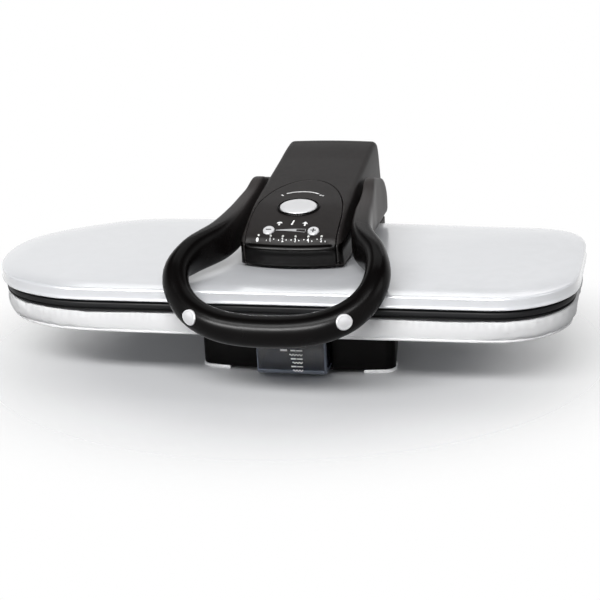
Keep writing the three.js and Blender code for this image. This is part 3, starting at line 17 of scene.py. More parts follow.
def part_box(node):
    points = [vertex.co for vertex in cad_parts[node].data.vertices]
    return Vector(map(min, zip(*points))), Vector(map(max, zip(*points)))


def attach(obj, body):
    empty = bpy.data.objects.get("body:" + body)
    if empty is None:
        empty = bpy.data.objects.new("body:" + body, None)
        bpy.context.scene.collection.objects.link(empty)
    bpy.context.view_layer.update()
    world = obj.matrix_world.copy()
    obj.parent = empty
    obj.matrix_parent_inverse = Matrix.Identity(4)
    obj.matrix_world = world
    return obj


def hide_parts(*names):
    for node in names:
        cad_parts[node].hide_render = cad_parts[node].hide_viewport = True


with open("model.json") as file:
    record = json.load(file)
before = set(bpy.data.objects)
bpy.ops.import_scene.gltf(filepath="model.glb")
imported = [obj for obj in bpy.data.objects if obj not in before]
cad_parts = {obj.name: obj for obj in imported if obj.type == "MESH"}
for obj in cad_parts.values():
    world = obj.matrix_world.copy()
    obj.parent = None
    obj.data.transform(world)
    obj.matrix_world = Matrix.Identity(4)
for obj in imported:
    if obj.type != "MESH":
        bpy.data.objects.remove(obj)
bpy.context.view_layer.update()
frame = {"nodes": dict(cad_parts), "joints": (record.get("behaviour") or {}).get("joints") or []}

bl_info = {
    "name": "Steam ironing press",
    "version": (1, 0, 0),
    "blender": (4, 5, 0),
    "location": "3D View > Sidebar > Press",
    "description": "Fine surfaces, cloth and finishes for a steam ironing press",
    "category": "Object",
}

MM = 0.001


def middle(node):
    """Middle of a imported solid's box, in millimetres."""
    low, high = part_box(node)
    return (low + high) / 2 / MM


def top_of(node):
    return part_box(node)[1].z / MM


def foot_of(node):
    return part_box(node)[0].z / MM


def heights(node):
    return foot_of(node), top_of(node)


OVERRUN = 5  # how far a cut reaches past what it cuts

# Places that every piece is set out from
HINGE_Y = 168
ORIGIN = Vector((middle("arm_housing").x, middle("hinge_pin").y - HINGE_Y, 0))
HINGE_Z = middle("hinge_pin").z
BOARD_X = middle("shoe_cover").x - ORIGIN.x

# Arm housing
HOUSING_Z = 122
HOUSING_FRONT = -70
HOUSING_REAR = 187
HOUSING_LENGTH = HOUSING_REAR - HOUSING_FRONT
UNDERCUT = 4
LIP_Z = 141
TOP_Z = top_of("arm_housing")
SKIRT_Z = foot_of("arm_housing")
SKIRT_FRONT = 138
SKIRT_REAR_RISE = 6
TOP_HALF_WIDTH = 52
LOW_HALF_WIDTH = 57
EDGE_RADIUS = 6
EDGE_EASE = 0.5  # rounding at the panel's seam and openings
REAR_STRAIGHT = 20  # the rear wall is straight up to this far above the lip
BOW = 10
BOW_FADE_Y = 30
CROWN = 1.2
CROWN_RISE = 12
BEAD_FADE = (0.8, 0.9)  # shares of the half width between which the lip's bead ends
SKIN = 2.4
# The housing's top in side view: shares of its length from the lip, and of its rise above the lip
TOPLINE = [
    (0.0175, 0.183), (0.039, 0.255), (0.07, 0.317), (0.11, 0.385), (0.152, 0.45), (0.23, 0.55),
    (0.35, 0.638), (0.498, 0.733), (0.72, 0.867), (0.915, 0.985), (0.95, 0.992), (0.978, 0.96),
    (0.994, 0.89), (1, 0.8),
]
# The lip in side view, in the middle with its bead and plain at its ends: (back, up) from the front at LIP_Z
LIP_BEAD = [
    (3.2, -14), (1.2, -5), (-0.3, -1.4), (-0.8, 0.4), (-0.2, 2), (0.5, 3.6), (1.6, 4.7), (3, 5),
    (3.9, 7.6),
]
LIP_PLAIN = [
    (3.2, -14), (1.2, -5), (0.4, -1.2), (0.3, 0.7), (0.5, 2.6), (0.9, 4.3), (1.4, 5.4), (2.0, 6.6),
    (2.8, 8.2),
]
ARCH_HALF_WIDTH = 50.2
ARCH_SHOULDER_Y = -35
ARCH_TOP_Y = 57
NOTCH_HALF_WIDTH = 48.3
NOTCH_TOP_Z = HINGE_Z + SKIRT_REAR_RISE

# Controls on the panel
POWER_Y = -12
POWER_HALF_WIDTH = 20.5
POWER_HALF_DEPTH = 15
STEPPER_X = 24.5
STEPPER_Y = -53.5
STEPPER_RADIUS = 6.2
LAMP_Y = -60.8
LAMP_HALF_SPAN = 34.5
LAMP_COUNT = 6
LAMP_PLACES = np.linspace(-LAMP_HALF_SPAN, LAMP_HALF_SPAN, LAMP_COUNT)
LAMP_RADIUS = 1.2
LAMP_SLACK = 0.2
SLACK = 0.5  # round a button

# Handle: the grip from its middle to its widest place, then back to the end of the paddle
GRIP_HALF_SPAN = 107
GRIP_REACH = 275
GRIP_DROP = 62
GRIP_THICK = 14
GRIP_TALL = 17
PADDLE_Y = 95
PADDLE_Z = 152
PADDLE_THICK = 6.6
PADDLE_TALL = 30
PADDLE_GAP = 1.2
PADDLE_X = LOW_HALF_WIDTH + PADDLE_GAP + PADDLE_THICK
# Shares of: half span, reach, drop, half thickness, half height
GRIP_SHARES = [
    (0, 1, 1, 1, 1), (0.458, 0.985, 0.952, 1, 1), (0.748, 0.942, 0.806, 1, 0.97),
    (0.907, 0.895, 0.613, 1, 0.912), (0.981, 0.855, 0.427, 1, 0.882), (1, 0.804, 0.258, 0.964, 0.912),
]
# Shares of: way out from the paddle, reach, drop, way to the grip's thickness, half height, lean
SIDE_SHARES = [
    (0.834, 0.702, 0.161, 0.797, 0.65, 0.9), (0.336, 0.553, 0.073, 0.73, 0.7, 0.6),
    (0.147, 0.389, 0.008, 0.459, 0.71, 0.3), (0.1, 0.273, -0.024, 0.257, 0.74, 0.1),
    (0.052, 0.193, -0.056, 0.12, 0.79, 0), (0.005, 0.12, -0.056, 0.054, 1, 0),
    (0, 0.011, 0.008, 0, 0.883, 0), (0, -0.0945, 0.0855, 0, 0.7, 0), (0, -0.1455, 0.226, -0.08, 0.4, 0),
    (0, -0.169, 0.298, -0.3, 0.16, 0),
]

# Base
BASE_FRONT = -66
BASE_BOW = 9
BASE_FRONT_HALF = 108
BASE_REAR_HALF = 76
BASE_REAR = 197
BASE_FRONT_CORNER = 12
BASE_REAR_CORNER = 22
BASE_WALL = 3

# Tank
TANK_HALF_WIDTH = 38.9
TANK_FRONT = -85
TANK_REAR = 18
TANK_CORNER = 4
TANK_WALL = 2

SPRING_WIRE = 1.1
SPRING_TURNS = 4.5
SPRING_PITCH = 3.6


# Sizes and colours that a user may change
def length(name, description, default):
    return bpy.props.FloatProperty(
        name=name, description=description, default=default, min=0, unit="LENGTH", precision=5
    )


def colour(name, description, *default):
    return bpy.props.FloatVectorProperty(
        name=name, description=description, default=default, size=3, min=0, max=1, subtype="COLOR"
    )


class PressSizes(bpy.types.PropertyGroup):
    """Sizes of the fine detail"""

    seam: length("Panel seam", "Gap round the arch-shaped panel", 0.0009)
    ink: length("Print", "Thickness of the printed marks", 0.00006)
    piping: length("Piping", "Radius of the board cover's piping", 0.0014)
    puff: length("Puff", "How far the board's padding may swell", 0.004)
    wrinkle: length("Wrinkles", "Depth of the wrinkles round the board's ends", 0.0007)


class PressColours(bpy.types.PropertyGroup):
    """Colours of the finishes"""

    cover: colour("Cover", "Painted cover of the shoe", 0.67, 0.68, 0.705)
    band: colour("Band", "Band under the cover", 0.013, 0.013, 0.014)
    cloth: colour("Cloth", "Cover of the board", 0.8, 0.8, 0.805)
    housing: colour("Housing", "Satin plastic of the arm", 0.02, 0.0178, 0.0174)
    gloss: colour("Gloss", "Glossy plastic of the handle and lip", 0.0014, 0.0011, 0.0011)
    base: colour("Base", "Plastic of the base", 0.0018, 0.0016, 0.0016)
    tank: colour("Tank", "Smoked plastic of the tank", 0.1, 0.12, 0.17)
    button: colour("Buttons", "Silvery paint of the buttons", 0.62, 0.62, 0.63)
    mark: colour("Marks", "Printed marks", 0.86, 0.86, 0.86)


# Lines and outlines
def curve_between(t, span, start, start_slope, end, end_slope):
    """A cubic from start to end; the slopes are for each unit of the span."""
    return (
        (2 * t**3 - 3 * t**2 + 1) * start
        + (t**3 - 2 * t**2 + t) * span * start_slope
        + (3 * t**2 - 2 * t**3) * end
        + (t**3 - t**2) * span * end_slope
    )


def smooth_line(points, closed=False, steps=14):
    """Points along a smooth line through points, in any number of dimensions."""
    p = np.asarray(points, float)
    if closed:
        p = np.vstack([p[-1:], p, p[:2]])
    else:
        p = np.vstack([2 * p[0] - p[1], p, 2 * p[-1] - p[-2]])
    reach = np.maximum(np.linalg.norm(np.diff(p, axis=0), axis=1), 1e-9)
    slope = np.diff(p, axis=0) / reach[:, None]
    before, after = reach[:-1, None], reach[1:, None]
    tangent = (slope[:-1] * after + slope[1:] * before) / (before + after)
    t = np.linspace(0, 1, steps, endpoint=False)[:, None]
    pieces = [
        curve_between(t, reach[i], p[i], tangent[i - 1], p[i + 1], tangent[i])
        for i in range(1, len(p) - 2)
    ]
    if not closed:
        pieces.append(p[-2:-1])
    return np.vstack(pieces)


def run_along(line):
    """The length of a line up to each of its points."""
    return np.concatenate([[0], np.cumsum(np.linalg.norm(np.diff(line, axis=0), axis=1))])


def even(line, count, closed=False):
    """The line again, with count points at equal spacing."""
    line = np.asarray(line, float)
    if closed:
        line = np.vstack([line, line[:1]])
    run = run_along(line)
    at = np.linspace(0, run[-1], count, endpoint=not closed)
    return np.stack([np.interp(at, run, line[:, k]) for k in range(line.shape[1])], 1)


def inset(loop, distance):
    """A closed loop moved inwards; loops run anticlockwise."""
    ahead, behind = np.roll(loop, -1, 0), np.roll(loop, 1, 0)
    along = ahead - behind
    along /= np.linalg.norm(along, axis=1)[:, None]
    return loop + distance * np.stack([-along[:, 1], along[:, 0]], 1)


def arc(x, y, rx, ry, start, end, steps):
    angles = np.radians(np.linspace(start, end, steps + 1))
    return np.stack([x + rx * np.cos(angles), y + ry * np.sin(angles)], 1)


def circle(x, y, radius, sides=40):
    return arc(x, y, radius, radius, 0, 360, sides)[:-1]


def angles_round(sides):
    """Angles of equally spaced points round a circle."""
    return np.linspace(0, 2 * math.pi, sides, endpoint=False)


def rounded_rectangle(x0, x1, y0, y1, radius, steps=10):
    return np.vstack([
        arc(x1 - radius, y0 + radius, radius, radius, -90, 0, steps),
        arc(x1 - radius, y1 - radius, radius, radius, 0, 90, steps),
        arc(x0 + radius, y1 - radius, radius, radius, 90, 180, steps),
        arc(x0 + radius, y0 + radius, radius, radius, 180, 270, steps),
    ])


def ring_of(node, z):
    """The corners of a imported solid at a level, in order round its middle."""
    points = {(round(v.co.x / MM, 3), round(v.co.y / MM, 3)) for v in frame["nodes"][node].data.vertices
              if abs(v.co.z / MM - z) < 0.05}
    points = np.array(sorted(points)) - np.array(ORIGIN[:2])
    centre = (points.min(0) + points.max(0)) / 2
    turn = np.arctan2(*(points - centre).T[::-1])
    return points[np.argsort(turn)]


COVER_FOOT = foot_of("shoe_cover")
COVER_WIDEST = 0.8  # above the cover's lower edge
BOARD_POINTS = 260


def board_outline():
    """The board in plan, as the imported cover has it, with evenly spaced points."""
    line = smooth_line(ring_of("shoe_cover", COVER_FOOT + COVER_WIDEST), closed=True)
    low, high = (np.array(corner)[:2] / MM - np.array(ORIGIN)[:2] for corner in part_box("shoe_cover"))
    return np.clip(even(line, BOARD_POINTS, closed=True), low, high)


BOARD = board_outline()


def base_outline(move=0):
    """The base in plan, moved inwards."""
    span = BASE_FRONT_HALF - BASE_FRONT_CORNER
    share = np.linspace(-1, 1, 25)
    front = np.stack([span * share, BASE_FRONT + move + BASE_BOW * share**2], 1)
    corner_y = BASE_FRONT + BASE_BOW + BASE_FRONT_CORNER
    rear_x, rear_y = BASE_REAR_HALF - BASE_REAR_CORNER, BASE_REAR - BASE_REAR_CORNER
    tight, wide = BASE_FRONT_CORNER - move, BASE_REAR_CORNER - move
    steps = 14
    return np.vstack([
        front[1:-1],
        arc(span, corner_y, tight, tight, -90, 0, steps),
        arc(rear_x, rear_y, wide, wide, 0, 90, steps),
        arc(-rear_x, rear_y, wide, wide, 90, 180, steps),
        arc(-span, corner_y, tight, tight, 180, 270, steps),
    ])


# Meshes
def place(points):
    """Points about the arm's middle plane, in millimetres, put into the frame in metres."""
    points = np.asarray(points, float).reshape(-1, 3)
    return (points + np.array(ORIGIN)) * MM


def put_in_scene(name, data):
    made = bpy.data.objects.new(name, data)
    bpy.context.scene.collection.objects.link(made)
    return made


def weld(mesh, outward=False):
    """Closes a mesh's seams, and can turn its faces outwards."""
    tidy = bmesh.new()
    tidy.from_mesh(mesh)
    bmesh.ops.remove_doubles(tidy, verts=tidy.verts, dist=1e-6)
    if outward:
        bmesh.ops.recalc_face_normals(tidy, faces=tidy.faces)
    tidy.to_mesh(mesh)
    tidy.free()


def thing(name, points, faces, closed=True):
    """An object with a mesh of its own, not yet part of the press."""
    mesh = bpy.data.meshes.new(name)
    mesh.from_pydata(place(points).tolist(), [], [list(map(int, face)) for face in faces])
    weld(mesh, outward=closed)
    return put_in_scene(name, mesh)


def smooth(made, degrees):
    """Smooth shading, but for edges sharper than an angle."""
    made.data.polygons.foreach_set("use_smooth", [True] * len(made.data.polygons))
    made.data.set_sharp_from_angle(angle=math.radians(degrees))
    return made


def part(made, finish, body, nodes=()):
    """Makes an object a piece of the press."""
    made.data.materials.clear()
    made.data.materials.append(FINISHES[finish])
    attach(made, body)
    if nodes:
        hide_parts(*nodes)


def skin_faces(total, count, wrap=False, first=0):
    """Faces of a skin over rings of count points, closed at its ends or back onto its first ring."""
    faces = []
    for k in range(total if wrap else total - 1):
        a, b = first + k * count, first + ((k + 1) % total) * count
        for i in range(count):
            j = (i + 1) % count
            faces.append((a + i, a + j, b + j, b + i))
    if not wrap:
        faces.append(tuple(range(first, first + count))[::-1])
        faces.append(tuple(range(first + (total - 1) * count, first + total * count)))
    return faces


def loft(name, rings, wrap=False):
    """A skin over rings with equally many points."""
    rings = [np.asarray(ring, float) for ring in rings]
    return thing(name, np.vstack(rings), skin_faces(len(rings), len(rings[0]), wrap))


def level(loop, z):
    return np.column_stack([loop, np.full(len(loop), float(z))])


def slab(name, loop, z0, z1):
    return loft(name, [level(loop, z0), level(loop, z1)])


def block(name, x0, x1, y0, y1, z0, z1):
    return slab(name, np.array([(x0, y0), (x1, y0), (x1, y1), (x0, y1)]), z0, z1)


def side_slab(name, loop, x0, x1):
    """A side view outline, points (y, z), pulled across."""
    return loft(name, [np.column_stack([np.full(len(loop), float(x)), loop]) for x in (x0, x1)])


def turned(name, start, end, profile, sides=32):
    """A round body from start towards end. The profile has (share along, radius), or is one radius."""
    if isinstance(profile, (int, float)):
        profile = [(0, profile), (1, profile)]
    start, end = Vector(start), Vector(end)
    axis = (end - start).normalized()
    side = axis.orthogonal().normalized()
    other = axis.cross(side)
    rings = []
    for share, radius in profile:
        spot = start.lerp(end, share)
        rings.append([
            spot + radius * (math.cos(t) * side + math.sin(t) * other)
            for t in angles_round(sides)
        ])
    return loft(name, rings)


def tube(name, points, radius, sides, steps):
    """A round tube along a smooth line."""
    line = smooth_line(points, steps=steps)
    rings = []
    up = Vector((0.13, 0.21, 0.97))
    for k, point in enumerate(line):
        along = Vector(line[min(k + 1, len(line) - 1)] - line[max(k - 1, 0)]).normalized()
        up = (up - along * up.dot(along)).normalized()
        side = along.cross(up)
        spot = Vector(point)
        rings.append([spot + radius * (math.cos(t) * up + math.sin(t) * side) for t in angles_round(sides)])
    return loft(name, rings)


def bake(made):
    """Applies an object's modifiers."""
    bpy.context.view_layer.update()
    graph = bpy.context.evaluated_depsgraph_get()
    mesh = bpy.data.meshes.new_from_object(made.evaluated_get(graph))
    made.modifiers.clear()
    made.data = mesh
    return made


def combine(made, *others, operation="DIFFERENCE"):
    """Cuts the others out of an object, or joins them to it."""
    for other in others:
        step = made.modifiers.new("Cut", "BOOLEAN")
        step.operation = operation
        step.solver = "EXACT"
        step.object = other
        bake(made)
        bpy.data.objects.remove(other)
    return made


SHARP = 40  # degrees between two faces from which their edge counts as sharp


def bevel(made, width, segments=2):
    """Adds a modifier that rounds the edges sharper than SHARP degrees."""
    step = made.modifiers.new("Edges", "BEVEL")
    step.width = width * MM
    step.segments = segments
    step.limit_method = "ANGLE"
    step.angle_limit = math.radians(SHARP)


def round_edges(made, width, segments=2):
    """Rounds the sharp edges for good."""
    bevel(made, width, segments)
    bake(made)
    smooth(made, SHARP)


def thicken(made, depth):
    """Gives a skin its wall, inwards."""
    step = made.modifiers.new("Wall", "SOLIDIFY")
    step.thickness = depth * MM
    step.offset = -1
    bake(made)


def inside(points, loop):
    """Which points lie inside a closed loop."""
    points, loop = np.asarray(points, float), np.asarray(loop, float)
    found = np.zeros(len(points), bool)
    x, y = points[:, 0], points[:, 1]
    for (x0, y0), (x1, y1) in zip(loop, np.roll(loop, -1, 0)):
        if y0 == y1:
            continue
        crosses = (y0 > y) != (y1 > y)
        found ^= crosses & (x < (x1 - x0) * (y - y0) / (y1 - y0) + x0)
    return found


def distance_to(points, loop):
    """Distance from each point to a closed loop."""
    points, a = np.asarray(points, float), np.asarray(loop, float)
    b = np.roll(a, -1, 0)
    along = b - a
    size = np.maximum((along**2).sum(1), 1e-12)
    best = np.full(len(points), 1e9)
    for start, way, square in zip(a, along, size):
        t = np.clip(((points - start) @ way) / square, 0, 1)
        best = np.minimum(best, np.linalg.norm(points - start - t[:, None] * way, axis=1))
    return best


def filled(outer, holes=(), inner_loops=(), points=()):
    """Triangles inside a loop and outside its holes, as (flat points, faces)."""
    coords, edges = [], []
    for loop in [outer, *holes, *inner_loops]:
        first = len(coords)
        coords.extend(map(tuple, loop))
        edges.extend((first + i, first + (i + 1) % len(loop)) for i in range(len(loop)))
    coords.extend(map(tuple, points))
    made = geometry.delaunay_2d_cdt([Vector(c) for c in coords], edges, [], 0, 1e-5)
    flat = np.array([(v.x, v.y) for v in made[0]])
    faces = np.array(made[2])
    centres = flat[faces].mean(1)
    keep = inside(centres, outer)
    for hole in holes:
        keep &= ~inside(centres, hole)
    return flat, faces[keep]


def well_inside(points, loop, margin):
    """The points inside a loop that keep clear of it."""
    return points[inside(points, loop) & (distance_to(points, loop) > margin)]


def grid_inside(outer, holes, pitch, margin):
    """Points of a square grid inside a loop, clear of its edges and holes."""
    low, high = outer.min(0), outer.max(0)
    xs = np.arange(low[0] + pitch / 2, high[0], pitch)
    ys = np.arange(low[1] + pitch / 2, high[1], pitch)
    points = well_inside(np.array([(x, y) for y in ys for x in xs]), outer, margin)
    for hole in holes:
        points = points[~inside(points, hole) & (distance_to(points, hole) > margin)]
    return points


# The arm housing's surface. A place on it is given as (across, run): how far it lies to the side, and how far
# along the side view, from the front's lower edge over the top and down the rear.
def build_profile(bead):
    line = [(HOUSING_FRONT + UNDERCUT, HOUSING_Z)]
    line += [(HOUSING_FRONT + back, LIP_Z + up) for back, up in bead]
    line += [(HOUSING_FRONT + HOUSING_LENGTH * s, LIP_Z + (TOP_Z - LIP_Z) * u) for s, u in TOPLINE]
    line += [(HOUSING_REAR, LIP_Z + REAR_STRAIGHT), (HOUSING_REAR, SKIRT_Z + SKIRT_REAR_RISE)]
    return smooth_line(line)


PROFILE_POINTS = 900
PROFILE_PLAIN = even(build_profile(LIP_PLAIN), PROFILE_POINTS)
PROFILE_BEAD = even(build_profile(LIP_BEAD), PROFILE_POINTS)
PROFILE_LENGTH = float(np.linalg.norm(np.diff(PROFILE_PLAIN, axis=0), axis=1).sum())
PROFILE_RUN = np.linspace(0, PROFILE_LENGTH, PROFILE_POINTS)
EDGE_SHARE = EDGE_RADIUS / LOW_HALF_WIDTH


def half_width(z):
    """The housing's half width at a height; its sides lean."""
    return TOP_HALF_WIDTH + (LOW_HALF_WIDTH - TOP_HALF_WIDTH) * (TOP_Z - z) / (TOP_Z - HOUSING_Z)


def step_between(x, low, high):
    """A soft step from 0 at low to 1 at high."""
    t = np.clip((x - low) / (high - low), 0, 1)
    return t * t * (3 - 2 * t)


def bow_at(y, share):
    """How far the front's bow moves a place back, at a share of the half width."""
    return BOW * np.clip((BOW_FADE_Y - y) / (BOW_FADE_Y - HOUSING_FRONT), 0, 1) * share**2


def profile_at(table, run):
    return np.stack([np.interp(run, PROFILE_RUN, table[:, k]) for k in (0, 1)], -1)


def housing_surface(across, run, sink=0):
    """Points of the housing's skin, sunk below it by sink."""
    across, run = np.atleast_1d(across).astype(float), np.atleast_1d(run).astype(float)
    side = np.sign(across)
    q = np.abs(across) / LOW_HALF_WIDTH
    bend = np.clip((q - (1 - EDGE_SHARE)) / EDGE_SHARE, 0, 1) * math.pi / 2
    share = np.where(q <= 1 - EDGE_SHARE, q, 1 - EDGE_SHARE * (1 - np.sin(bend)))
    rounded = EDGE_RADIUS * (1 - np.cos(bend)) * (bend > 0)
    plain = step_between(q, *BEAD_FADE)[:, None]
    line = profile_at(PROFILE_BEAD, run) * (1 - plain) + profile_at(PROFILE_PLAIN, run) * plain
    ahead, behind = profile_at(PROFILE_PLAIN, run + 1), profile_at(PROFILE_PLAIN, run - 1)
    along = ahead - behind
    along /= np.linalg.norm(along, axis=1)[:, None]
    out = np.stack([-along[:, 1], along[:, 0]], 1)
    line = line - out * rounded[:, None]
    y, z = line[:, 0], line[:, 1]
    z = np.where(run <= 1e-6, HOUSING_Z, z)
    rear = run >= PROFILE_LENGTH - 1e-6
    z = np.where(rear, SKIRT_Z + SKIRT_REAR_RISE * (y - HINGE_Y) / (HOUSING_REAR - HINGE_Y), z)
    x = side * half_width(z) * share
    top = CROWN * share**2 * step_between(z, LIP_Z, LIP_Z + CROWN_RISE)
    points = np.stack([x, y + bow_at(y, share), z - top], 1)
    if np.any(sink):
        normal = np.stack([side * np.sin(bend), out[:, 0] * np.cos(bend), out[:, 1] * np.cos(bend)], 1)
        points = points - normal * np.reshape(sink, (-1, 1))
    return points


# The stretch of the side view that is seen from above, from the lip's foremost place to the highest
FIRST_TOP = int(np.argmin(PROFILE_PLAIN[:, 0]))
LAST_TOP = int(np.argmax(PROFILE_PLAIN[:, 1]))


def run_of(y):
    return np.interp(y, PROFILE_PLAIN[FIRST_TOP:LAST_TOP, 0], PROFILE_RUN[FIRST_TOP:LAST_TOP])


def across_of(x, run):
    """The across value of a place x beside the middle plane."""
    share = np.abs(x) / half_width(profile_at(PROFILE_PLAIN, run)[..., 1])
    bend = np.arcsin(np.clip(1 - (1 - share) / EDGE_SHARE, 0, 1))
    q = np.where(share <= 1 - EDGE_SHARE, share, 1 - EDGE_SHARE + EDGE_SHARE * bend / (math.pi / 2))
    return np.sign(x) * q * LOW_HALF_WIDTH


def run_under(x, y):
    """The run of a place seen from above, with the front's bow taken off."""
    start = y
    for _ in range(4):
        share = np.abs(x) / half_width(profile_at(PROFILE_PLAIN, run_of(start))[..., 1])
        start = y - bow_at(start, share)
    return run_of(start)


def on_top(points, lift=0):
    """Flat points (x, y) carried up onto the housing's top."""
    points = np.asarray(points, float).reshape(-1, 2)
    x = points[:, 0]
    run = run_under(x, points[:, 1])
    return housing_surface(across_of(x, run), run, -lift)


def top_frame(x, y):
    """Origin, sideways, uphill and outward directions at a place on the housing's top."""
    spots = on_top([(x, y), (x + 1, y), (x - 1, y), (x, y + 6), (x, y - 6)])
    sideways = Vector((1, 0, 0))
    uphill = Vector(spots[3] - spots[4]).normalized()
    outward = sideways.cross(uphill).normalized()
    return Vector(spots[0]), sideways, uphill, outward


def arch_loop(spread):
    """The panel's seam as a line of (across, run), from the left foot round to the right foot."""
    half = ARCH_HALF_WIDTH + spread
    shoulder = float(run_of(ARCH_SHOULDER_Y - bow_at(ARCH_SHOULDER_Y, 1)))
    left = [(float(across_of(-half, run)), run) for run in np.linspace(0, shoulder, 40)]
    top = []
    for angle in np.radians(np.linspace(180, 0, 121))[1:-1]:
        x = half * math.cos(angle)
        run = float(run_under(x, ARCH_SHOULDER_Y + (ARCH_TOP_Y - ARCH_SHOULDER_Y + spread) * math.sin(angle)))
        if run > shoulder + 1:
            top.append((float(across_of(x, run)), run))
    right = [(-across, run) for across, run in reversed(left)]
    return np.array(left + top + right)


def hole_loop(x, y, half_x, half_y, sides=48):
    """An oval on the housing's top as (across, run), round a place on the middle line's run."""
    run = float(run_of(y))
    centre = float(across_of(x, run)) if x else 0
    stretch = LOW_HALF_WIDTH / half_width(profile_at(PROFILE_PLAIN, run)[1])
    return arc(centre, run, half_x * stretch, half_y, 0, 360, sides)[:-1]


def eased_by(gap):
    """How far a rounded-over edge lies below the skin, at a distance from it."""
    over = np.clip(1 - gap / EDGE_EASE, 0, 1)
    return EDGE_EASE * (1 - np.sqrt(np.maximum(1 - over**2, 0)))


# Finishes
def socket(node, name, value):
    node.inputs[name].default_value = value


def shader_mix(tree, amount, first, second):
    """Mixes two shaders by an amount, and gives the result."""
    mix = tree.nodes.new("ShaderNodeMixShader")
    for k, source in enumerate((amount, first, second)):
        tree.links.new(source, mix.inputs[k])
    return mix.outputs[0]


class Finish:
    """A material with its nodes, for building up colour, roughness and relief."""

    def __init__(self, name, tone, roughness, metallic=0, **more):
        self.material = bpy.data.materials.new(name)
        self.material.use_nodes = True
        self.nodes = self.material.node_tree.nodes
        self.links = self.material.node_tree.links
        self.shader = self.nodes["Principled BSDF"]
        self.tone = tuple(tone[:3])
        socket(self.shader, "Base Color", (*self.tone, 1))
        socket(self.shader, "Roughness", roughness)
        socket(self.shader, "Metallic", metallic)
        for key, value in more.items():
            socket(self.shader, key.replace("_", " "), value)
        self.place = self.nodes.new("ShaderNodeTexCoord").outputs["Object"]

    def stretched(self, scale):
        """Object coordinates with a scale for each direction."""
        mapping = self.nodes.new("ShaderNodeMapping")
        socket(mapping, "Scale", scale)
        self.links.new(self.place, mapping.inputs["Vector"])
        return mapping.outputs["Vector"]

    def noise(self, scale, detail=4, stretch=(1, 1, 1), distortion=0):
        texture = self.nodes.new("ShaderNodeTexNoise")
        socket(texture, "Scale", scale)
        socket(texture, "Detail", detail)
        socket(texture, "Distortion", distortion)
        self.links.new(self.stretched(stretch), texture.inputs["Vector"])
        return texture.outputs["Fac"]

    def cells(self, scale):
        texture = self.nodes.new("ShaderNodeTexVoronoi")
        socket(texture, "Scale", scale)
        self.links.new(self.place, texture.inputs["Vector"])
        return texture.outputs["Distance"]

    def bands(self, scale, direction, distortion, stretch=(1, 1, 1)):
        texture = self.nodes.new("ShaderNodeTexWave")
        texture.wave_type = "BANDS"
        texture.bands_direction = direction
        socket(texture, "Scale", scale)
        socket(texture, "Distortion", distortion)
        self.links.new(self.stretched(stretch), texture.inputs["Vector"])
        return texture.outputs["Fac"]

    def maths(self, operation, *values):
        node = self.nodes.new("ShaderNodeMath")
        node.operation = operation
        for k, value in enumerate(values):
            if isinstance(value, (int, float)):
                node.inputs[k].default_value = value
            else:
                self.links.new(value, node.inputs[k])
        return node.outputs[0]

    def span(self, value, low, high, to_low=0.0, to_high=1.0):
        node = self.nodes.new("ShaderNodeMapRange")
        node.interpolation_type = "SMOOTHSTEP"
        for name, number in (("From Min", low), ("From Max", high), ("To Min", to_low), ("To Max", to_high)):
            socket(node, name, number)
        self.links.new(value, node.inputs["Value"])
        return node.outputs["Result"]

    def axis(self, name, normal=False):
        """One coordinate of the place, or of the surface's direction."""
        split = self.nodes.new("ShaderNodeSeparateXYZ")
        source = self.place
        if normal:
            source = self.nodes.new("ShaderNodeNewGeometry").outputs["Normal"]
        self.links.new(source, split.inputs[0])
        return split.outputs[name]

    def mix_tone(self, amount, other):
        """Mixes another colour over the present one."""
        mix = self.nodes.new("ShaderNodeMix")
        mix.data_type = "RGBA"
        target = self.shader.inputs["Base Color"]
        if target.is_linked:
            self.links.new(target.links[0].from_socket, mix.inputs["A"])
        else:
            mix.inputs["A"].default_value = (*self.tone, 1)
        mix.inputs["B"].default_value = (*other[:3], 1)
        self.links.new(amount, mix.inputs["Factor"])
        self.links.new(mix.outputs["Result"], target)
        return self

    def vary(self, scale, share, low=0.35, high=0.65):
        """Lighter or darker patches; share below 1 darkens."""
        amount = self.span(self.noise(scale), low, high)
        return self.mix_tone(amount, [min(1, c * share) for c in self.tone])

    def rough(self, value, low, high):
        """Roughness that follows a value."""
        self.drive("Roughness", self.span(value, 0.3, 0.7, low, high))

    def drive(self, name, value):
        """Leads a value into one of the shader's sockets."""
        self.links.new(value, self.shader.inputs[name])

    def relief(self, value, depth, strength):
        """Adds relief; depth is in metres."""
        bump = self.nodes.new("ShaderNodeBump")
        socket(bump, "Strength", strength)
        socket(bump, "Distance", depth)
        self.links.new(value, bump.inputs["Height"])
        target = self.shader.inputs["Normal"]
        if target.is_linked:
            self.links.new(target.links[0].from_socket, bump.inputs["Normal"])
        self.links.new(bump.outputs["Normal"], target)


# Levels and places, in metres, between which a finish changes
GATHERS_Z = (0.074, 0.086)
GLOSS_Z = 0.1462
SATIN_Y = (-0.085, 0.02)
# Where the tank's front corners and foot are painted paler, standing in for light through its walls
TANK_CORNER_X = (0.0362, 0.0372)
TANK_CORNER_DEPTH = (0.006, 0.003)
TANK_FOOT_Z = (0.0118, 0.0102)
# Scales of the cloth's threads and the plastic's grain
WEAVE = 420
GRAIN = 1500


def enamel(tone):
    """Glossy paint with a faint orange-peel surface."""
    f = Finish("white_enamel", tone, 0.2, Specular_IOR_Level=0.9, Coat_Weight=1, Coat_Roughness=0.16,
               Coat_IOR=1.7)
    f.vary(3, 0.975).vary(60, 1.012)
    f.rough(f.noise(14, 5), 0.17, 0.25)
    f.relief(f.noise(420, 2), 0.00002, 0.35)
    f.relief(f.noise(30, 2), 0.00005, 0.2)
    return f.material


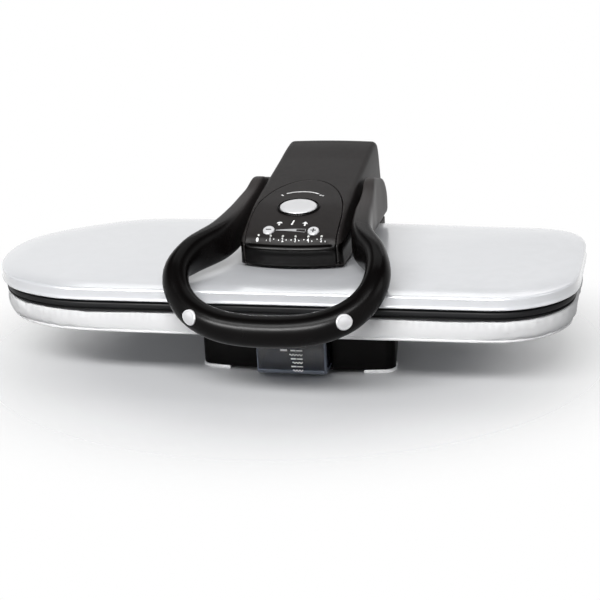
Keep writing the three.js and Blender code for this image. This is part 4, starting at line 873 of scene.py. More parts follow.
def band_plastic(tone):
    """Ribbed dark plastic band."""
    f = Finish("band_plastic", tone, 0.45, Specular_IOR_Level=0.1)
    f.vary(25, 0.82)
    f.relief(f.noise(1600, 3), 0.00003, 0.5)
    f.rough(f.noise(40), 0.4, 0.55)
    return f.material


def woven_cloth(tone):
    """White cotton with a plain weave, gathered under the upper edge, with painted shade in the gathers."""
    f = Finish("white_cloth", tone, 0.92, Sheen_Weight=0.25, Sheen_Roughness=0.5, Specular_IOR_Level=0.25)
    f.vary(9, 0.955).vary(45, 0.97).vary(2.2, 0.96)
    weave = f.maths("MULTIPLY", f.bands(WEAVE, "X", 0.4), f.bands(WEAVE, "Y", 0.4))
    side_weave = f.maths("MULTIPLY", f.bands(WEAVE, "X", 0.4), f.bands(WEAVE, "Z", 0.4))
    up = f.maths("ABSOLUTE", f.axis("Z", normal=True))
    flat = f.span(up, 0.4, 0.8)
    woven = f.maths("ADD", f.maths("MULTIPLY", weave, flat),
                    f.maths("MULTIPLY", side_weave, f.maths("SUBTRACT", 1, flat)))
    f.relief(woven, 0.00012, 0.55)
    edge = f.span(f.axis("Z"), *GATHERS_Z)
    on_side = f.span(up, 0.75, 0.35)
    gathers_and_shade = f.maths("MULTIPLY", f.bands(38, "X", 5, (1, 0.35, 0.25)), f.maths("MULTIPLY", edge, on_side))
    f.relief(gathers_and_shade, 0.0007, 0.5)
    f.relief(f.noise(28, 5, (1, 1, 0.45)), 0.0009, 0.35)
    # Painted shade: the gathers are painted darker, standing in for the shade in their folds
    f.mix_tone(f.maths("MULTIPLY", gathers_and_shade, 0.22), [c * 0.75 for c in tone])
    return f.material


def satin_plastic(name, tone, roughness, grain, gleam=0.08, gloss_tone=None):
    """Finely grained plastic with rubbed edges, glossy below GLOSS_Z if it has a gloss tone."""
    f = Finish(name, tone, roughness, Specular_IOR_Level=gleam)
    f.vary(18, 0.88).vary(140, 1.06)
    f.relief(f.cells(GRAIN), 0.00004, grain)
    soft = f.noise(26, 5)
    if gloss_tone:
        satin = f.span(f.axis("Z"), GLOSS_Z - 0.0006, GLOSS_Z + 0.0012)
        f.mix_tone(f.maths("SUBTRACT", 1, satin), gloss_tone)
        polished = 0.2
        base = f.maths("ADD", polished, f.maths("MULTIPLY", satin, roughness - polished))
        f.drive("Roughness", f.maths("ADD", base, f.maths("MULTIPLY", soft, 0.05)))
    else:
        f.rough(soft, roughness - 0.04, roughness + 0.06)
    worn = f.nodes.new("ShaderNodeNewGeometry").outputs["Pointiness"]
    f.mix_tone(f.span(worn, 0.53, 0.6, 0, 0.35), [min(1, c * 2.2 + 0.01) for c in tone])
    return f.material


def gloss_plastic(name, tone, roughness=0.25, gleam=0.08, satin_tone=None):
    """Polished plastic with faint smears and hairlines; its rear may be satin."""
    f = Finish(name, tone, roughness, Specular_IOR_Level=gleam)
    smears = f.noise(22, 6, distortion=0.4)
    f.vary(12, 1.5)
    if satin_tone:
        satin = f.span(f.axis("Y"), *SATIN_Y)
        f.mix_tone(satin, satin_tone)
        f.relief(f.maths("MULTIPLY", f.cells(GRAIN), satin), 0.00004, 0.4)
        base = f.maths("ADD", roughness - 0.04, f.maths("MULTIPLY", satin, 0.14))
        f.drive("Roughness", f.maths("ADD", base, f.maths("MULTIPLY", smears, 0.1)))
    else:
        f.rough(smears, roughness - 0.03, roughness + 0.09)
    f.relief(f.noise(55, 3), 0.00006, 0.12)
    f.relief(f.bands(900, "DIAGONAL", 20), 0.000004, 0.15)
    return f.material


def smoked_clear(tone):
    """Clear smoked plastic that light passes through, painted paler at its front corners and foot."""
    f = Finish("smoked_clear", tone, 0.08, Transmission_Weight=0.95, IOR=1.46, Specular_IOR_Level=0.05)
    f.rough(f.noise(60, 4), 0.05, 0.16)
    f.relief(f.noise(90, 3), 0.00005, 0.3)
    f.vary(20, 0.8)
    # Painted light: the front corners and the foot are painted paler and less clear, standing in for the
    # light seen through the length of their walls
    beside = f.maths("ABSOLUTE", f.maths("SUBTRACT", f.axis("X"), ORIGIN[0] * MM))
    front_y = (TANK_FRONT + ORIGIN[1]) * MM
    near_front = f.span(f.axis("Y"), front_y + TANK_CORNER_DEPTH[0], front_y + TANK_CORNER_DEPTH[1])
    corners = f.maths("MULTIPLY", f.span(beside, *TANK_CORNER_X), near_front)
    pale = f.maths("MAXIMUM", corners, f.span(f.axis("Z"), *TANK_FOOT_Z))
    # Painted light: a paler tone at the corners and foot
    f.mix_tone(pale, (0.27, 0.3, 0.36))
    f.drive("Transmission Weight", f.maths("SUBTRACT", 0.96, f.maths("MULTIPLY", pale, 0.5)))
    return f.material


def silver_paint(tone):
    """Silvery paint with a fine metallic grain."""
    f = Finish("button_silver", tone, 0.34, 0.15, Coat_Weight=0.2, Coat_Roughness=0.15)
    f.vary(300, 0.94).vary(14, 0.97)
    f.relief(f.noise(1500, 2), 0.00001, 0.4)
    f.rough(f.noise(30), 0.3, 0.42)
    return f.material


def brushed_metal(name, tone, roughness, stretch):
    """Metal with brush marks along one direction."""
    f = Finish(name, tone, roughness, 1.0)
    marks = f.noise(380, 3, stretch)
    f.mix_tone(f.span(marks, 0.35, 0.65, 0, 0.5), [c * 0.78 for c in tone])
    f.rough(f.noise(35, 4), roughness - 0.02, roughness + 0.05)
    f.relief(marks, 0.00001, 0.5)
    return f.material


def rubber(name, tone):
    """Dull rubber with dust in its pores."""
    f = Finish(name, tone, 0.82)
    f.vary(60, 1.5, 0.5, 0.75)
    f.relief(f.noise(900, 4), 0.00006, 0.6)
    return f.material


def hose_silicone():
    f = Finish("hose_silicone", (0.62, 0.6, 0.55), 0.5, Subsurface_Weight=0.15,
               Subsurface_Radius=(0.004, 0.003, 0.002))
    f.vary(40, 0.88)
    f.relief(f.noise(300, 2), 0.00004, 0.4)
    return f.material


def circuit_laminate():
    """Green laminate with a pattern of tracks."""
    f = Finish("circuit_laminate", (0.02, 0.13, 0.055), 0.45, Coat_Weight=0.3)
    tracks = f.maths("GREATER_THAN", f.bands(55, "X", 2.5, (1, 0.5, 1)), 0.72)
    f.mix_tone(tracks, (0.06, 0.26, 0.11))
    pads = f.maths("LESS_THAN", f.cells(170), 0.22)
    f.mix_tone(pads, (0.6, 0.58, 0.5))
    f.relief(tracks, 0.00005, 0.6)
    return f.material


def fibre_mat():
    """Felted fibre."""
    f = Finish("fibre_mat", (0.5, 0.4, 0.24), 0.97, Sheen_Weight=0.3)
    f.vary(240, 0.7).vary(30, 0.85)
    f.relief(f.noise(700, 6), 0.0003, 0.9)
    return f.material


def printed(name, tone):
    """Printed ink with slightly uneven cover."""
    f = Finish(name, tone, 0.5)
    f.vary(900, 0.9)
    f.relief(f.noise(2000, 2), 0.000005, 0.5)
    return f.material


def lamp_lens():
    f = Finish("lamp_lens", (0.85, 0.86, 0.82), 0.15, Transmission_Weight=0.25, IOR=1.45)
    f.vary(200, 0.9)
    f.rough(f.noise(200), 0.1, 0.25)
    return f.material


FINISHES = {}


def make_finishes(colours):
    """Makes every finish from the chosen colours."""
    tone = {name: tuple(getattr(colours, name)) for name in PressColours.__annotations__}
    FINISHES.update({
        "enamel": enamel(tone["cover"]),
        "band": band_plastic(tone["band"]),
        "cloth": woven_cloth(tone["cloth"]),
        "housing": satin_plastic("housing_satin", tone["housing"], 0.4, 0.5, gloss_tone=tone["gloss"]),
        "tower": satin_plastic("tower_satin", tone["housing"], 0.45, 0.6),
        "base": satin_plastic("base_satin", tone["base"], 0.36, 0.4, gleam=0.05),
        "gloss": gloss_plastic("gloss_black", tone["gloss"]),
        "handle": gloss_plastic("handle_black", tone["gloss"], satin_tone=[c * 1.9 for c in tone["housing"]]),
        "tank": smoked_clear(tone["tank"]),
        "silver": silver_paint(tone["button"]),
        "foot": gloss_plastic("pale_foot", (0.9, 0.9, 0.91), 0.2, 0.6),
        "steel": brushed_metal("steel", (0.52, 0.53, 0.55), 0.3, (1, 0.06, 1)),
        "plate": brushed_metal("aluminium_plate", (0.6, 0.61, 0.62), 0.26, (0.05, 1, 1)),
        "rubber": rubber("black_rubber", (0.02, 0.02, 0.02)),
        "pump": rubber("pump_grey", (0.09, 0.09, 0.1)),
        "hose": hose_silicone(),
        "circuit": circuit_laminate(),
        "fibre": fibre_mat(),
        "mark": printed("white_print", tone["mark"]),
        "dark_mark": printed("dark_print", (0.02, 0.02, 0.02)),
        "grey_mark": printed("grey_print", (0.42, 0.42, 0.43)),
        "lens": lamp_lens(),
    })


# Shoe
OPENING = (0, 7, 18, 29)  # middle x and y, half width and half depth of the opening in the cover
OPENING_SQUARENESS = 9
ROOF_RISE = 1  # from the cover's shoulder to its middle
COVER_SHOULDER = 25
COVER_EDGE_RADIUS = 2.6
COVER_LEAN = 0.9
COVER_WALL = 2.6
COVER_DROP = 1.7  # from the shoulder out to the rounded edge
BAND_INSET = 4.5
BAND_WIDTH = 9


def opening_loop(spread):
    """The opening, with one point in the direction of each point of the board."""
    x, y, half_x, half_y = OPENING
    way = BOARD - np.array((x, y))
    way /= np.linalg.norm(way, axis=1)[:, None]
    power = OPENING_SQUARENESS
    reach = np.abs(way[:, 0] / (half_x + spread)) ** power + np.abs(way[:, 1] / (half_y + spread)) ** power
    return np.array((x, y)) + way * (reach ** (-1 / power))[:, None]


def towards_opening(outer, share, spread=0):
    return outer * (1 - share) + opening_loop(spread) * share


def board_rings(table):
    """Rings that follow the board's outline, from rows of (inset, height)."""
    return [level(inset(BOARD, d), z) for d, z in table]


def make_cover():
    """Painted cover with a rounded edge, a soft shoulder and the opening for the arm."""
    edge_z = top_of("shoe_cover") - ROOF_RISE
    side_z = edge_z - COVER_DROP - COVER_EDGE_RADIUS
    foot = [(9, 2), (9, 0.3), (8.6, 0), (1, 0), (0.4, 0.2), (0.05, 0.7), (0, 1.2), (0.35, 2.2), (0.7, 3.4),
            (COVER_LEAN, 5)]
    table = [(d, COVER_FOOT + z) for d, z in foot]
    table.append((COVER_LEAN, side_z - 0.5))
    for t in np.radians(range(0, 82, 9)):
        back, up = 1 - math.cos(t), math.sin(t)
        table.append((COVER_LEAN + COVER_EDGE_RADIUS * back, side_z + COVER_EDGE_RADIUS * up))
    inner_edge = COVER_LEAN + COVER_EDGE_RADIUS
    for share in (0.08, 0.2, 0.35, 0.5, 0.7, 1):
        table.append((inner_edge + COVER_SHOULDER * share, edge_z - COVER_DROP * (1 - share) ** 2))
    skin = board_rings(table)
    top = inset(BOARD, inner_edge + COVER_SHOULDER)
    for share in (0.01, 0.03, 0.07, 0.13, 0.2, 0.3, 0.42, 0.55, 0.7, 0.85, 0.95, 0.985, 1):
        skin.append(level(towards_opening(top, share), edge_z + ROOF_RISE * math.sin(share * math.pi / 2)))
    skin.append(level(opening_loop(0), edge_z + ROOF_RISE - COVER_WALL))
    roof = inset(BOARD, COVER_LEAN + 9)
    for share in (0.9, 0.5, 0.1, 0):
        skin.append(level(towards_opening(roof, share), edge_z - COVER_WALL - 1 + 2 * share))
    skin += board_rings([(COVER_WALL + COVER_LEAN + 1, side_z - 3), (COVER_WALL, COVER_FOOT + 2)])
    part(smooth(loft("cover_skin", skin, wrap=True), 50), "enamel", "arm", ["shoe_cover"])


def make_band():
    """Dark band with two grooves, under the cover."""
    low, high = heights("shoe_rim")
    grooves = [(BAND_WIDTH, 0), (1.2, 0), (0.5, 0.4), (0.4, 1.3), (0.7, 1.6), (3.4, 1.7), (3.4, 3.1),
               (0.7, 3.3), (0.2, 3.8), (0, 5), (0, 7.4), (0.2, 8.6), (0.8, 9.2), (4, 9.3)]
    table = [(BAND_INSET + d, low + z) for d, z in grooves]
    table += [(BAND_INSET + 4, high), (BAND_INSET + BAND_WIDTH, high)]
    part(smooth(loft("band", board_rings(table), wrap=True), 50), "band", "arm", ["shoe_rim"])


STEAM_PITCH = (45, 55)
STEAM_COUNT = (4, 1)
STEAM_RADIUS = 2.2
STEAM_SINK = 1.3
STEAM_SIDES = 20
PLATE_INSET = 13.8
PLATE_EASE = 1.4
MAT_INSET = 12.5


def make_plate():
    """Heating plate with eased edges and countersunk steam holes."""
    low, high = heights("heating_plate")
    outline = even(inset(BOARD, PLATE_INSET), 180, closed=True)
    face = inset(outline, PLATE_EASE)
    columns, rows = (range(-count, count + 1) for count in STEAM_COUNT)
    spots = [(column * STEAM_PITCH[0], row * STEAM_PITCH[1]) for column in columns for row in rows]
    wide = [circle(x, y, STEAM_RADIUS + STEAM_SINK, STEAM_SIDES) for x, y in spots]
    tight = [circle(x, y, STEAM_RADIUS, STEAM_SIDES) for x, y in spots]
    points, faces = [], []

    def add_points(more):
        first = len(points)
        points.extend(map(tuple, more))
        return first

    for loop, holes, z, turn in ((face, wide, low, -1), (outline, tight, high, 1)):
        flat, triangles = filled(loop, holes)
        first = add_points(level(flat, z))
        faces.extend(tuple(first + i for i in triangle[::turn]) for triangle in triangles)
    rim = [level(face, low), level(inset(outline, 0.4), low + 0.5)]
    rim += [level(outline, z) for z in (low + 1.5, high)]
    bores = [[level(w, low), level(t, low + 0.9), level(t, high)] for w, t in zip(wide, tight)]
    for rings in (rim, *bores):
        firsts = [add_points(ring) for ring in rings]
        count = len(rings[0])
        for a, b in zip(firsts, firsts[1:]):
            faces.extend((a + i, a + (i + 1) % count, b + (i + 1) % count, b + i) for i in range(count))
    plate = thing("heating_sole", points, faces)
    part(smooth(plate, 30), "plate", "arm", ["heating_plate"])


def make_mat():
    """Fibre mat under the cover's roof."""
    low, high = heights("insulation_mat")
    outline = inset(BOARD, MAT_INSET)
    bulge = level(inset(outline, -0.3), (low + high) / 2)
    rings = [level(outline, low + 0.4), bulge, level(outline, high - 0.4)]
    shares = (0.02, 0.3, 0.6, 0.97, 1)
    rings += [level(towards_opening(outline, share, 0.5), high) for share in shares]
    rings += [level(towards_opening(outline, share, 0.5), low) for share in shares[::-1]]
    part(smooth(loft("fibre_layer", rings, wrap=True), 60), "fibre", "arm", ["insulation_mat"])


# Board
PAD_INSET = 4
PAD_SEAT = 9.6
PAD_SHRINK = 0.9  # so much smaller than its room before it swells
PAD_VOXEL = 5
SWELL_FRAMES = 20
LACED_DEPTH = (40, 16)  # depths from the board's edge between which the sides are kept from drawing in
SIDE_DEPTH = (24, 5)  # depths between which the wrinkles set in
RIGHT_END = (215, 300)  # distances from the board's middle between which the folds deepen
LEFT_END = (175, 300)
END_STRETCH = 2.2  # how much more a place's y counts than its x in the way outwards
FOLDS = 26  # folds for each radian round the board
FOLD_SHARES = (0.25, 1.1)  # depth of the folds along the sides, and so much more at the ends
FOLD_RISE = 0.055
RIPPLE_PITCH = 0.09
RIPPLE_RISE = 0.05
RIPPLE_SHARE = 0.5
PIPING_RISE = 1.6
PIPING_SIDES = 12
PIPING_SMOOTH = 5  # points on either side over which the piping's line is evened out
PIPING_WAVE = 0.18
PIPING_WAVE_PITCH = 0.9
CAST_REACH = 9  # from how far out the padding's side is looked for
TRAY_GAP = 0.4
TRAY_WALL = 2


def pad_form():
    """Closed form of the padding, hollow below where the tray lies."""
    low, high = heights("board_pad")
    seat_z = top_of("board_tray") + TRAY_GAP
    edge = PAD_INSET + PAD_SHRINK
    seat = PAD_INSET + PAD_SEAT
    table = [(edge + PAD_SEAT + 60, seat_z), (edge + PAD_SEAT + 3, seat_z), (seat + 0.2, seat_z - 0.6),
             (seat + 0.2, low + 1.2), (seat - 1.5, low)]
    table += [(edge + d, low + z) for d, z in ((4.5, 0), (2.2, 0.7), (0.7, 2.4), (0, 5.5))]
    top = ((0, 9), (0.5, 5.2), (2, 2.6), (5, 1.2), (11, 0.7), (26, 0.4), (60, 0.2))
    table += [(edge + d, high - z) for d, z in top]
    return loft("padding", board_rings(table))


def points_of(made):
    """Points of an object about the arm's middle plane, in millimetres."""
    return np.array([v.co for v in made.data.vertices]) / MM - np.array(ORIGIN)


def swell(pad):
    """Lets the padding swell as cloth under a little pressure."""
    cloth = pad.modifiers.new("Cloth", "CLOTH")
    cloth.settings.use_pressure = True
    cloth.settings.uniform_pressure_force = 4
    cloth.settings.effector_weights.gravity = 0
    cloth.settings.quality = 4
    for number in range(1, SWELL_FRAMES + 1):
        bpy.context.scene.frame_set(number)
    bake(pad)
    bpy.context.scene.frame_set(1)


def make_pad(sizes):
    """Padded cover of the board: swollen, laced under the tray and wrinkled round its ends."""
    low, high = heights("board_pad")
    pad = pad_form()
    remesh = pad.modifiers.new("Voxels", "REMESH")
    remesh.mode = "VOXEL"
    remesh.voxel_size = PAD_VOXEL * MM
    bake(pad)
    rest = points_of(pad)
    depth = distance_to(rest[:, :2], even(BOARD, 130, closed=True))
    swell(pad)
    step = points_of(pad) - rest
    ways = (rest[:, :2] - (BOARD_X, 0)) * (1, END_STRETCH)
    ways /= np.maximum(np.linalg.norm(ways, axis=1), 1e-6)[:, None]
    # The cover is laced under the board, so its sides can't draw in
    inward = np.minimum(0, (step[:, :2] * ways).sum(1)) * step_between(depth, *LACED_DEPTH)
    step[:, :2] -= ways * inward[:, None]
    tray_side = (rest[:, 2] < top_of("board_tray") + 2.5) & (depth > PAD_INSET + 5)
    allowed = np.where(tray_side, 0.0, sizes.puff / MM)
    share = np.minimum(1, allowed / np.maximum(np.linalg.norm(step, axis=1), 1e-6))
    points = rest + step * share[:, None]
    beside = points[:, 0] - BOARD_X
    ends = step_between(beside, *RIGHT_END) + step_between(-beside, *LEFT_END)
    side = step_between(depth, *SIDE_DEPTH)
    plain, more = FOLD_SHARES
    for k, point in enumerate(points):
        if tray_side[k]:
            continue
        around = math.atan2(point[1], point[0] - BOARD_X)
        fold = noise.noise(Vector((around * FOLDS, point[2] * FOLD_RISE, 1.3)))
        ripple = noise.noise(Vector(point * (RIPPLE_PITCH, RIPPLE_PITCH, RIPPLE_RISE)))
        lift = (sizes.wrinkle / MM) * side[k] * (fold * (plain + more * ends[k]) + RIPPLE_SHARE * ripple)
        points[k, :2] += ways[k] * lift
    points[:, 2] = np.clip(points[:, 2], low, high)
    pad.data.vertices.foreach_set("co", place(points).ravel())
    finer = pad.modifiers.new("Finer", "SUBSURF")
    finer.levels = finer.render_levels = 1
    bake(pad)
    part(smooth(pad, 180), "cloth", "base", ["board_pad"])
    make_piping(pad, sizes.piping / MM)


def make_piping(pad, radius):
    """Piping that lies against the padding's side, near its foot."""
    seam_z = foot_of("board_pad") + PIPING_RISE
    normals = BOARD - inset(BOARD, 1)
    surface = BVHTree.FromPolygons([v.co for v in pad.data.vertices], [p.vertices for p in pad.data.polygons])
    reaches = []
    for spot, way in zip(BOARD, normals):
        start = Vector(place([(*(spot + way * CAST_REACH), seam_z + 1)])[0])
        hit = surface.ray_cast(start, Vector((-way[0], -way[1], 0)))[0]
        reaches.append(CAST_REACH - (start - hit).length / MM if hit else -PAD_INSET)
    width = 2 * PIPING_SMOOTH + 1
    reaches = np.concatenate([reaches[-PIPING_SMOOTH:], reaches, reaches[:PIPING_SMOOTH]])
    line = BOARD + normals * np.convolve(reaches, np.ones(width) / width, "valid")[:, None]
    wave = PIPING_WAVE * np.sin(np.arange(len(line)) * PIPING_WAVE_PITCH)
    rings = []
    for t in angles_round(PIPING_SIDES):
        ring = line + normals * (radius * math.cos(t) + wave)[:, None]
        rings.append(np.column_stack([ring, seam_z + radius * math.sin(t) + 0.6 * wave]))
    part(smooth(loft("board_piping", rings, wrap=True), 180), "cloth", "base")


def make_tray():
    """Pressed steel tray under the padding."""
    low, high = heights("board_tray")
    edge = PAD_INSET + PAD_SEAT + TRAY_GAP
    table = [(3, low), (0.5, low), (0, low + 0.5), (0, high - 0.8), (0.8, high), (50, high)]
    tray = loft("tray", board_rings([(edge + d, z) for d, z in table]))
    hollow = loft("hollow", board_rings([(edge + 3, low - OVERRUN), (edge + 3, high - TRAY_WALL)]))
    combine(tray, hollow)
    part(smooth(tray, 40), "steel", "base", ["board_tray"])


# Arm
PANEL_PITCH = 3.2
PANEL_MARGIN = 1.9
PANEL_RIMS = (0.16, 0.36, 1.2)  # distances from an edge at which rows of points follow it
SHELL_RIMS = (0.16, 0.36, 0.8)
SHELL_ROWS = 190
SHELL_PITCH = 4.5
SHELL_FLAT = 48  # half width over which the shell's points are evenly spaced
SHELL_SHOULDER = 50.8
# Rows of (inset, height above the panel) from a cap's or the bezel's underside to its middle
BEZEL = [(-0.35, -1.5), (-0.35, 0.5), (-0.7, 1.1), (-1.3, 1.35), (-2.1, 1.15), (-2.9, 0.45), (-3.1, -0.1),
         (-3.1, -0.8)]
POWER_CAP = [(12, -16), (12, -5), (-1.4, -5), (-1.4, -3.7), (0, -3.7), (0, 0.6), (0.3, 1.1), (0.9, 1.5),
             (2, 1.75), (4.5, 2.0), (9, 2.2), (14, 2.25)]
STEPPER_CAP = [(3.4, -16), (3.4, -5), (-1, -5), (-1, -3.7), (0, -3.7), (0, 0.4), (0.25, 0.8), (0.8, 1.05),
               (2, 1.2), (4, 1.25), (6, 1.25)]
STEPPER_TOP = 1.26
LENS = [(0, -3), (0, 0.02), (0.12, 0.14), (0.45, 0.24), (0.9, 0.28)]
LENS_SIDES = 16


def panel_holes():
    """Openings for the power button, the two steppers and the lamps."""
    power = hole_loop(0, POWER_Y, POWER_HALF_WIDTH + SLACK, POWER_HALF_DEPTH + SLACK, 72)
    radius = STEPPER_RADIUS + SLACK
    steppers = [hole_loop(s * STEPPER_X, STEPPER_Y, radius, radius) for s in (-1, 1)]
    radius = LAMP_RADIUS + LAMP_SLACK
    lamps = [hole_loop(x, LAMP_Y, radius, radius, LENS_SIDES) for x in LAMP_PLACES]
    return [power, *steppers, *lamps]


def make_panel(seam_line):
    """The arch-shaped panel inside its seam, with its edges rounded over."""
    width = seam_line[-1, 0]
    foot = [(across, 0) for across in np.linspace(width, -width, 40)[1:-1]]
    edge = np.vstack([seam_line, foot])
    outer = edge[::-1]
    holes = panel_holes()
    rims = [inset(hole, -d) for hole in holes for d in PANEL_RIMS]
    near = []
    for d in PANEL_RIMS:
        for moved in (inset(edge, d), inset(edge, -d)):
            near.extend(map(tuple, well_inside(moved, outer, d * 0.8)))
    grid = grid_inside(outer, holes, PANEL_PITCH, PANEL_MARGIN)
    flat, faces = filled(outer, holes, rims, [*map(tuple, grid), *near])
    gap = np.min([distance_to(flat, loop) for loop in (edge, *holes)], axis=0)
    panel = thing("panel", housing_surface(flat[:, 0], flat[:, 1], eased_by(gap)), faces, closed=False)
    thicken(panel, SKIN)
    part(smooth(panel, 45), "housing", "arm", ["control_panel"])


def shell_outline(seam_line, runs):
    """The shell's edge as (across, run): the seam, the feet, the sides and the notch over the tower."""
    side = LOW_HALF_WIDTH
    notch = float(across_of(NOTCH_HALF_WIDTH, PROFILE_LENGTH - 5))
    notch_run = float(np.interp(-NOTCH_TOP_Z, -PROFILE_PLAIN[LAST_TOP:, 1], PROFILE_RUN[LAST_TOP:]))
    half = [(across, 0) for across in np.linspace(seam_line[-1, 0], side, 9)[1:-1]]
    half += [(side, run) for run in runs]
    half += [(across, PROFILE_LENGTH) for across in np.linspace(side, notch, 12)[1:-1]]
    half += [(notch, run) for run in np.linspace(PROFILE_LENGTH, notch_run, 8)]
    half += [(across, notch_run) for across in np.linspace(notch, 0, 16)[1:]]
    other = [(-across, run) for across, run in reversed(half[:-1])]
    return np.array([*map(tuple, seam_line), *half, *other])


def make_shell(seam_line, gap):
    """The arm's shell round the panel, with its side walls."""
    runs = np.linspace(0, PROFILE_LENGTH, SHELL_ROWS)
    loop = shell_outline(seam_line, runs)
    bends = np.radians(np.arange(10, 90, 10)) / (math.pi / 2)
    rounded = LOW_HALF_WIDTH * (1 - EDGE_SHARE + EDGE_SHARE * bends)
    flat_columns = np.arange(-SHELL_FLAT, SHELL_FLAT + 0.1, SHELL_PITCH)
    columns = np.concatenate([-rounded[::-1], [-SHELL_SHOULDER], flat_columns, [SHELL_SHOULDER], rounded])
    grid = np.array([(across, run) for run in runs[1:-1] for across in columns])
    extra = [*map(tuple, well_inside(grid, loop, 0.7))]
    for d in SHELL_RIMS:
        extra.extend(map(tuple, well_inside(arch_loop(gap + d), loop, d * 0.7)))
    flat, faces = filled(loop, points=extra)
    # Closed far below the front edge, so that only the seam's own line counts
    seam_loop = np.vstack([seam_line, [(seam_line[-1, 0], -50), (seam_line[0, 0], -50)]])
    points = housing_surface(flat[:, 0], flat[:, 1], eased_by(distance_to(flat, seam_loop)))
    all_faces = [tuple(face) for face in faces]
    for s in (-1, 1):
        wall = housing_surface(np.full(len(runs), s * LOW_HALF_WIDTH), runs)
        low_x = s * half_width(SKIRT_Z)
        lower_edge = [(low_x, HINGE_Y, SKIRT_Z), (low_x, SKIRT_FRONT + 6, SKIRT_Z),
                      (s * half_width(HOUSING_Z), SKIRT_FRONT, HOUSING_Z)]
        ids = range(len(points), len(points) + len(wall) + len(lower_edge))
        all_faces.append(tuple(ids[::s]))
        points = np.vstack([points, wall, lower_edge])
    housing = thing("housing", points, all_faces)
    thicken(housing, SKIN)
    part(smooth(housing, 40), "housing", "arm", ["arm_housing"])


def cap_rings(origin, sideways, uphill, outward, half_u, half_v, levels, sides):
    """Oval rings of a cap or bezel. Levels hold (inset, height)."""
    return [
        [
            origin + sideways * ((half_u - shrink) * math.cos(t)) + uphill * ((half_v - shrink) * math.sin(t))
            + outward * height
            for t in angles_round(sides)
        ]
        for shrink, height in levels
    ]


def make_bezel():
    """Raised black ring round the power button."""
    rings = cap_rings(*top_frame(0, POWER_Y), POWER_HALF_WIDTH + SLACK, POWER_HALF_DEPTH + SLACK, BEZEL, 96)
    part(smooth(loft("power_bezel", rings, wrap=True), 60), "gloss", "arm")


def carried(origin, sideways, uphill, outward, height):
    """A function that puts flat points onto a place with its own directions."""
    def carry(flat, lift):
        return [origin + sideways * a + uphill * b + outward * (height + lift) for a, b in flat]

    return carry


def make_buttons():
    """The power button and the minus and plus buttons with their signs."""
    rings = cap_rings(*top_frame(0, POWER_Y), POWER_HALF_WIDTH, POWER_HALF_DEPTH, POWER_CAP, 96)
    part(smooth(loft("power_cap", rings), 50), "silver", "power_button", ["power_button"])
    bar = [(-2.9, 0), (2.9, 0)]
    post = [(0, -2.9), (0, 2.9)]
    for s, name, strokes in ((-1, "minus", [bar]), (1, "plus", [bar, post])):
        x = s * STEPPER_X
        y = STEPPER_Y + float(bow_at(STEPPER_Y, STEPPER_X / half_width(158)))
        spot = top_frame(x, y)
        body = name + "_button"
        button = loft(name + "_cap", cap_rings(*spot, STEPPER_RADIUS, STEPPER_RADIUS, STEPPER_CAP, 48))
        part(smooth(button, 50), "silver", body, [body])
        signs = [ribbon(stroke, 1.5) for stroke in strokes]
        print_marks(name + "_sign", signs, carried(*spot, STEPPER_TOP), 0.05, "dark_mark", body)


# Printed marks: each shape is (flat points, faces)
MARK_LIFT = 0.01


def ribbon(points, width, closed=False):
    """A stroke of even width along a line."""
    line = np.asarray(points, float)
    ahead = np.roll(line, -1, 0) if closed else np.vstack([line[1:], line[-1:]])
    behind = np.roll(line, 1, 0) if closed else np.vstack([line[:1], line[:-1]])
    along = ahead - behind
    along /= np.maximum(np.linalg.norm(along, axis=1), 1e-9)[:, None]
    side = np.stack([-along[:, 1], along[:, 0]], 1) * width / 2
    count = len(line)
    ends = [(i, (i + 1) % count) for i in range(count if closed else count - 1)]
    return np.vstack([line - side, line + side]), [(i, j, j + count, i + count) for i, j in ends]


def disc(x, y, radius, sides=20):
    return circle(x, y, radius, sides), [tuple(range(sides))]


def patch(points):
    return np.asarray(points, float), [tuple(range(len(points)))]


def digit(text, x, y, size):
    """A figure as a flat shape, centred on a place."""
    curve = bpy.data.curves.new("figure", "FONT")
    curve.body = text
    curve.size = size
    curve.offset = size * 0.015
    curve.align_x = "CENTER"
    curve.align_y = "CENTER"
    holder = put_in_scene("figure", curve)
    bpy.context.view_layer.update()
    mesh = bpy.data.meshes.new_from_object(holder.evaluated_get(bpy.context.evaluated_depsgraph_get()))
    form = bmesh.new()
    form.from_mesh(mesh)
    bmesh.ops.subdivide_edges(form, edges=form.edges[:], cuts=3, use_grid_fill=True)
    form.to_mesh(mesh)
    form.free()
    points = np.array([(v.co.x, v.co.y) for v in mesh.vertices]) + np.array((x, y))
    faces = [tuple(p.vertices) for p in mesh.polygons]
    bpy.data.objects.remove(holder)
    bpy.data.curves.remove(curve)
    bpy.data.meshes.remove(mesh)
    return points, faces


def print_marks(name, shapes, carry, thickness, finish, body):
    """Thin marks on a surface; carry puts flat points onto it."""
    points, faces = [], []
    for flat, polygons in shapes:
        low, high = carry(flat, MARK_LIFT), carry(flat, MARK_LIFT + thickness)
        count = len(flat)
        first = len(points)
        points.extend(map(tuple, low))
        points.extend(map(tuple, high))
        edges = {}
        for polygon in polygons:
            ids = [first + i for i in polygon]
            faces.append(tuple(ids[::-1]))
            faces.append(tuple(i + count for i in ids))
            for a, b in zip(ids, ids[1:] + ids[:1]):
                edges[(a, b)] = edges.get((a, b), 0) + 1
        for a, b in edges:
            if (b, a) not in edges:
                faces.append((a, b, b + count, a + count))
    part(smooth(thing(name, points, faces), 30), finish, body)


def lamp_y(x):
    """The lamps' row follows the front's bow."""
    return LAMP_Y + float(bow_at(LAMP_Y, abs(x) / half_width(154)))


